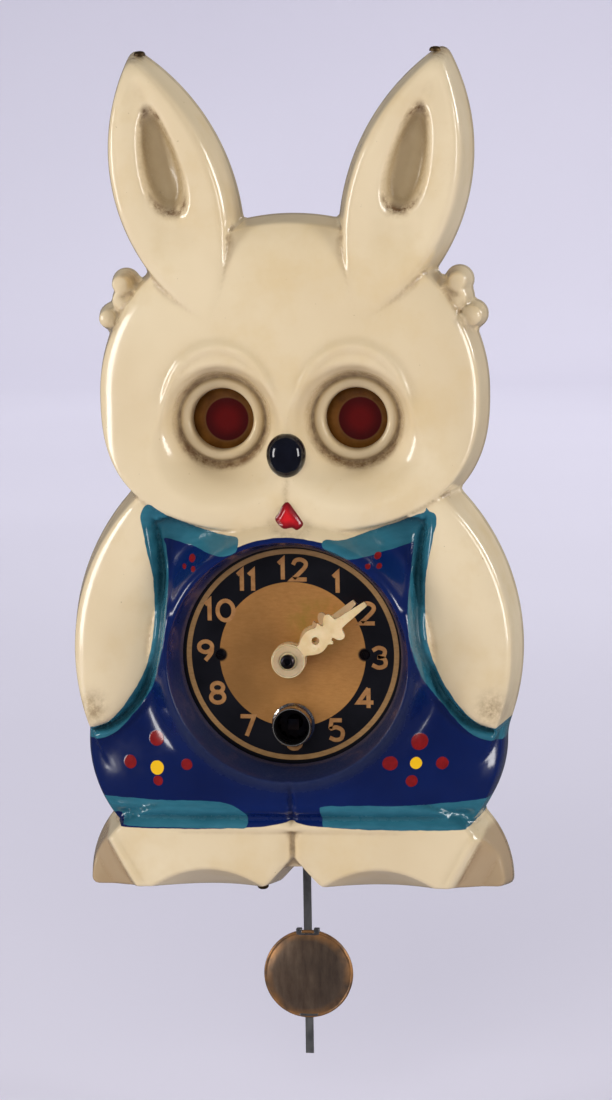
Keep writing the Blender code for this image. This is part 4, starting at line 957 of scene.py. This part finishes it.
def slotted(name, node, centre, radius, top, base, material, vertical, heading, drop):
    """A domed screw head with a slot, its crown at top and its underside at base."""
    reach = top - base
    profile = rounded([(0, top), (radius * 0.6, top - 0.12 * reach), (radius * 0.92, top - 0.45 * reach),
                       (radius, top - 0.75 * reach), (radius * 0.97, base)], 4)
    head = make(name, *turned(profile + [(0, base)], 40, (0, 0), vertical), material, None)
    cut = bpy.data.meshes.new(name + "_slot")
    shape = bmesh.new()
    bmesh.ops.create_cube(shape, size=1)
    deep, wide = drop * 2, radius * 0.3
    size = (radius * 2.4, wide, deep) if vertical else (radius * 2.4, deep, wide)
    bmesh.ops.scale(shape, vec=Vector(size) * MM, verts=shape.verts)
    turn = Matrix.Rotation(math.radians(heading), 3, "Z" if vertical else "Y")
    bmesh.ops.transform(shape, matrix=turn.to_4x4(), verts=shape.verts)
    shift = Vector((0, 0, top) if vertical else (0, top, 0)) * MM
    bmesh.ops.translate(shape, vec=shift, verts=shape.verts)
    shape.to_mesh(cut)
    shape.free()
    cutter = bpy.data.objects.new(name + "_slot", cut)
    bpy.context.scene.collection.objects.link(cutter)
    step = head.modifiers.new("slot", "BOOLEAN")
    step.object, step.operation, step.solver = cutter, "DIFFERENCE", "EXACT"
    bpy.context.view_layer.update()
    graph = bpy.context.evaluated_depsgraph_get()
    done = bpy.data.meshes.new_from_object(head.evaluated_get(graph))
    head.modifiers.clear()
    head.data = done
    where = Vector((centre[0], centre[1], 0) if vertical else (centre[0], 0, centre[1])) * MM
    done.transform(Matrix.Translation(where))
    bpy.data.objects.remove(cutter)
    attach(head, "case")
    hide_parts(node)


for side, name, turn in ((-1, "left", 20), (1, "right", 70)):
    slotted(f"ear_screw_head_{name}", f"ear_screw_{name}", (side * EAR_SCREW_X, -24.0), 1.4, 143.9, 142.7, RUSTY,
            True, turn, 0.5)
    slotted(f"dial_screw_head_{name}", f"dial_screw_{name}", (side * DIAL_SCREW_X, 0.0), 1.25, -33.15, -32.55,
            BLUED, False, turn, 0.25)
slotted("base_screw_head", "base_screw", (-9.2, -24.0), 1.4, -59.4, -58.3, RUSTY, True, 35, 0.4)

# ---------------------------------------------------------------- bush, pendulum bob
bush = rounded([(0.75, -43.6), (0.8, -44.0), (1.2, -44.0), (1.65, -43.6), (1.7, -43.0), (1.7, -42.4)], 4)
make("bush_ring", *turned([(0, -43.3), (0.74, -43.3)] + bush, 40), BLUED, "minute", "bush", 40, ["hand_bush"])


def build_bob():
    face = [(0, 2.6), (3.0, 2.5), (6.0, 2.05), (8.5, 1.4), (9.9, 0.85), (10.45, 0.62), (10.8, 0.75), (11.1, 0.45),
            (11.1, 0.0)]
    middle_y = -9.45
    front = rounded([(r, middle_y - d) for r, d in face])
    back = [(r, 2 * middle_y - y) for r, y in reversed(front[:-1])]
    make("bob_disc", *turned(front + back, 96, (0, BOB_Z)), bob_metal(), "bob_body", "bob", 50, ["bob"])
    box = [(0, 1, 3, 2), (4, 6, 7, 5), (0, 4, 5, 1), (2, 3, 7, 6), (0, 2, 6, 4), (1, 5, 7, 3)]
    vertices, faces = [], []
    for x0, x1, z0, z1 in ((-2.3, 2.3, -74.4, -73.7), (-2.9, -1.5, -74.2, -72.6), (1.5, 2.9, -74.2, -72.6),
                           (-2.3, 2.3, -94.9, -94.2)):
        faces += [tuple(i + len(vertices) for i in side) for side in box]
        vertices += [(x, y, z) for x in (x0, x1) for y in (-10.25, -8.65) for z in (z0, z1)]
    bevelled(make("bob_clip_tabs", vertices, faces, STEEL, "bob_body", "clip", 35, ["bob_clip"]), 0.2, 2)


build_bob()

# ---------------------------------------------------------------- finishes of the imported nodes
# the winding arbor and ratchet wheel get dark blued steel, which also stands in as painted shade inside the key hole
finishes = {"back_cover": cover_paint(), "dial_plate": dial_paint(), "key_ferrule": ferrule_metal(),
            "pendulum_rod": ROD, "mainspring": SPRING, "click_screw": BLUED, "winding_arbor": BLUED,
            "ratchet_wheel": BLUED, "front_plate": brass_shaded_at_key()}
made_of_brass = ("dial_post", "minute_wheel", "hour_wheel", "rear_plate", "centre_wheel", "third_wheel",
                 "fourth_wheel", "escape_wheel", "barrel", "eye_yoke", "pillar_")
for name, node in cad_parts.items():
    finish = finishes.get(name)
    if finish is None:
        steel = "screw" in name or "stud" in name or not name.startswith(made_of_brass)
        finish = STEEL if steel else BRASS
    node.data.materials.clear()
    node.data.materials.append(finish)


# ---------------------------------------------------------------- backdrop, lights, camera
def backdrop():
    """Pale paper that lies flat under the clock and bends up to a wall behind it."""
    width, floor, bend, near, far, top = 3.0, -0.125, 0.5, -2.6, 2.2, 2.6
    line = [(near, floor)] + [(far + bend * math.sin(a), floor + bend - bend * math.cos(a))
                              for a in np.linspace(0, math.pi / 2, 24)] + [(far + bend, top)]
    vertices = [(x, y, z) for y, z in line for x in (-width, width)]
    faces = [(2 * i, 2 * i + 1, 2 * i + 3, 2 * i + 2) for i in range(len(line) - 1)]
    mesh = bpy.data.meshes.new("backdrop")
    mesh.from_pydata(vertices, [], faces)
    mesh.shade_smooth()
    p = Paint("paper", 0.9)
    p.colour(p.mix(p.span(p.noise(2, 2), 0.3, 0.7), (0.70, 0.68, 0.79), (0.735, 0.715, 0.825)))
    mesh.materials.append(p.material)
    paper = bpy.data.objects.new("backdrop", mesh)
    bpy.context.scene.collection.objects.link(paper)
    paper.visible_glossy = False


backdrop()


def lamp(name, place, target, size, power, colour=(1, 1, 1), gloss=True):
    data = bpy.data.lights.new(name, "AREA")
    data.shape = "RECTANGLE"
    data.size, data.size_y = size
    data.energy = power
    data.color = colour
    light = bpy.data.objects.new(name, data)
    light.location = place
    light.rotation_euler = (Vector(target) - Vector(place)).to_track_quat("-Z", "Y").to_euler()
    light.visible_glossy = gloss
    bpy.context.scene.collection.objects.link(light)


for lamp_name, lamp_place in (("left_box", (-1.0, -0.50, 0.20)), ("right_box", (1.05, -0.42, 0.22))):
    lamp(lamp_name, lamp_place, (0, -0.03, 0.03), (0.22, 0.6), 6.0, (1.0, 0.98, 0.96))
lamp("front_fill", (-0.15, -1.5, 0.55), (0, 0.0, 0.02), (1.0, 0.8), 10.5, (1.0, 0.975, 0.94), False)
lamp("back_wash", (0.0, 1.7, 2.2), (0, 1.8, -0.1), (2.8, 1.6), 50.0, gloss=False)
lamp("rear_box", (1.5, 1.4, 0.6), (0, 0, 0.02), (0.6, 0.6), 8.0)
world = bpy.data.worlds.new("studio")
world.use_nodes = True
background = world.node_tree.nodes["Background"]
background.inputs["Color"].default_value = (0.80, 0.80, 0.92, 1)
background.inputs["Strength"].default_value = 0.11
bpy.context.scene.world = world
bpy.context.scene.view_settings.view_transform = "Standard"

yaw, pitch, roll, distance = math.radians(6.40), math.radians(7.57), math.radians(-0.93), 0.8501
forward = Vector((-math.sin(yaw) * math.cos(pitch), math.cos(yaw) * math.cos(pitch), -math.sin(pitch)))
right = Vector((math.cos(yaw), math.sin(yaw), 0))
up = right.cross(forward)
aside = right * math.cos(roll) + up * math.sin(roll)
above = up * math.cos(roll) - right * math.sin(roll)
camera = bpy.data.objects.new("camera", bpy.data.cameras.new("camera"))
turn = Matrix((aside, above, -forward)).transposed().to_4x4()
turn.translation = Vector((0.00335, -0.030, 0.02496)) - forward * distance
camera.matrix_world = turn
camera.data.lens = 116.3
camera.data.sensor_width = 36
camera.data.clip_start = 0.05
camera.data.clip_end = 20
bpy.context.scene.collection.objects.link(camera)
bpy.context.scene.camera = camera
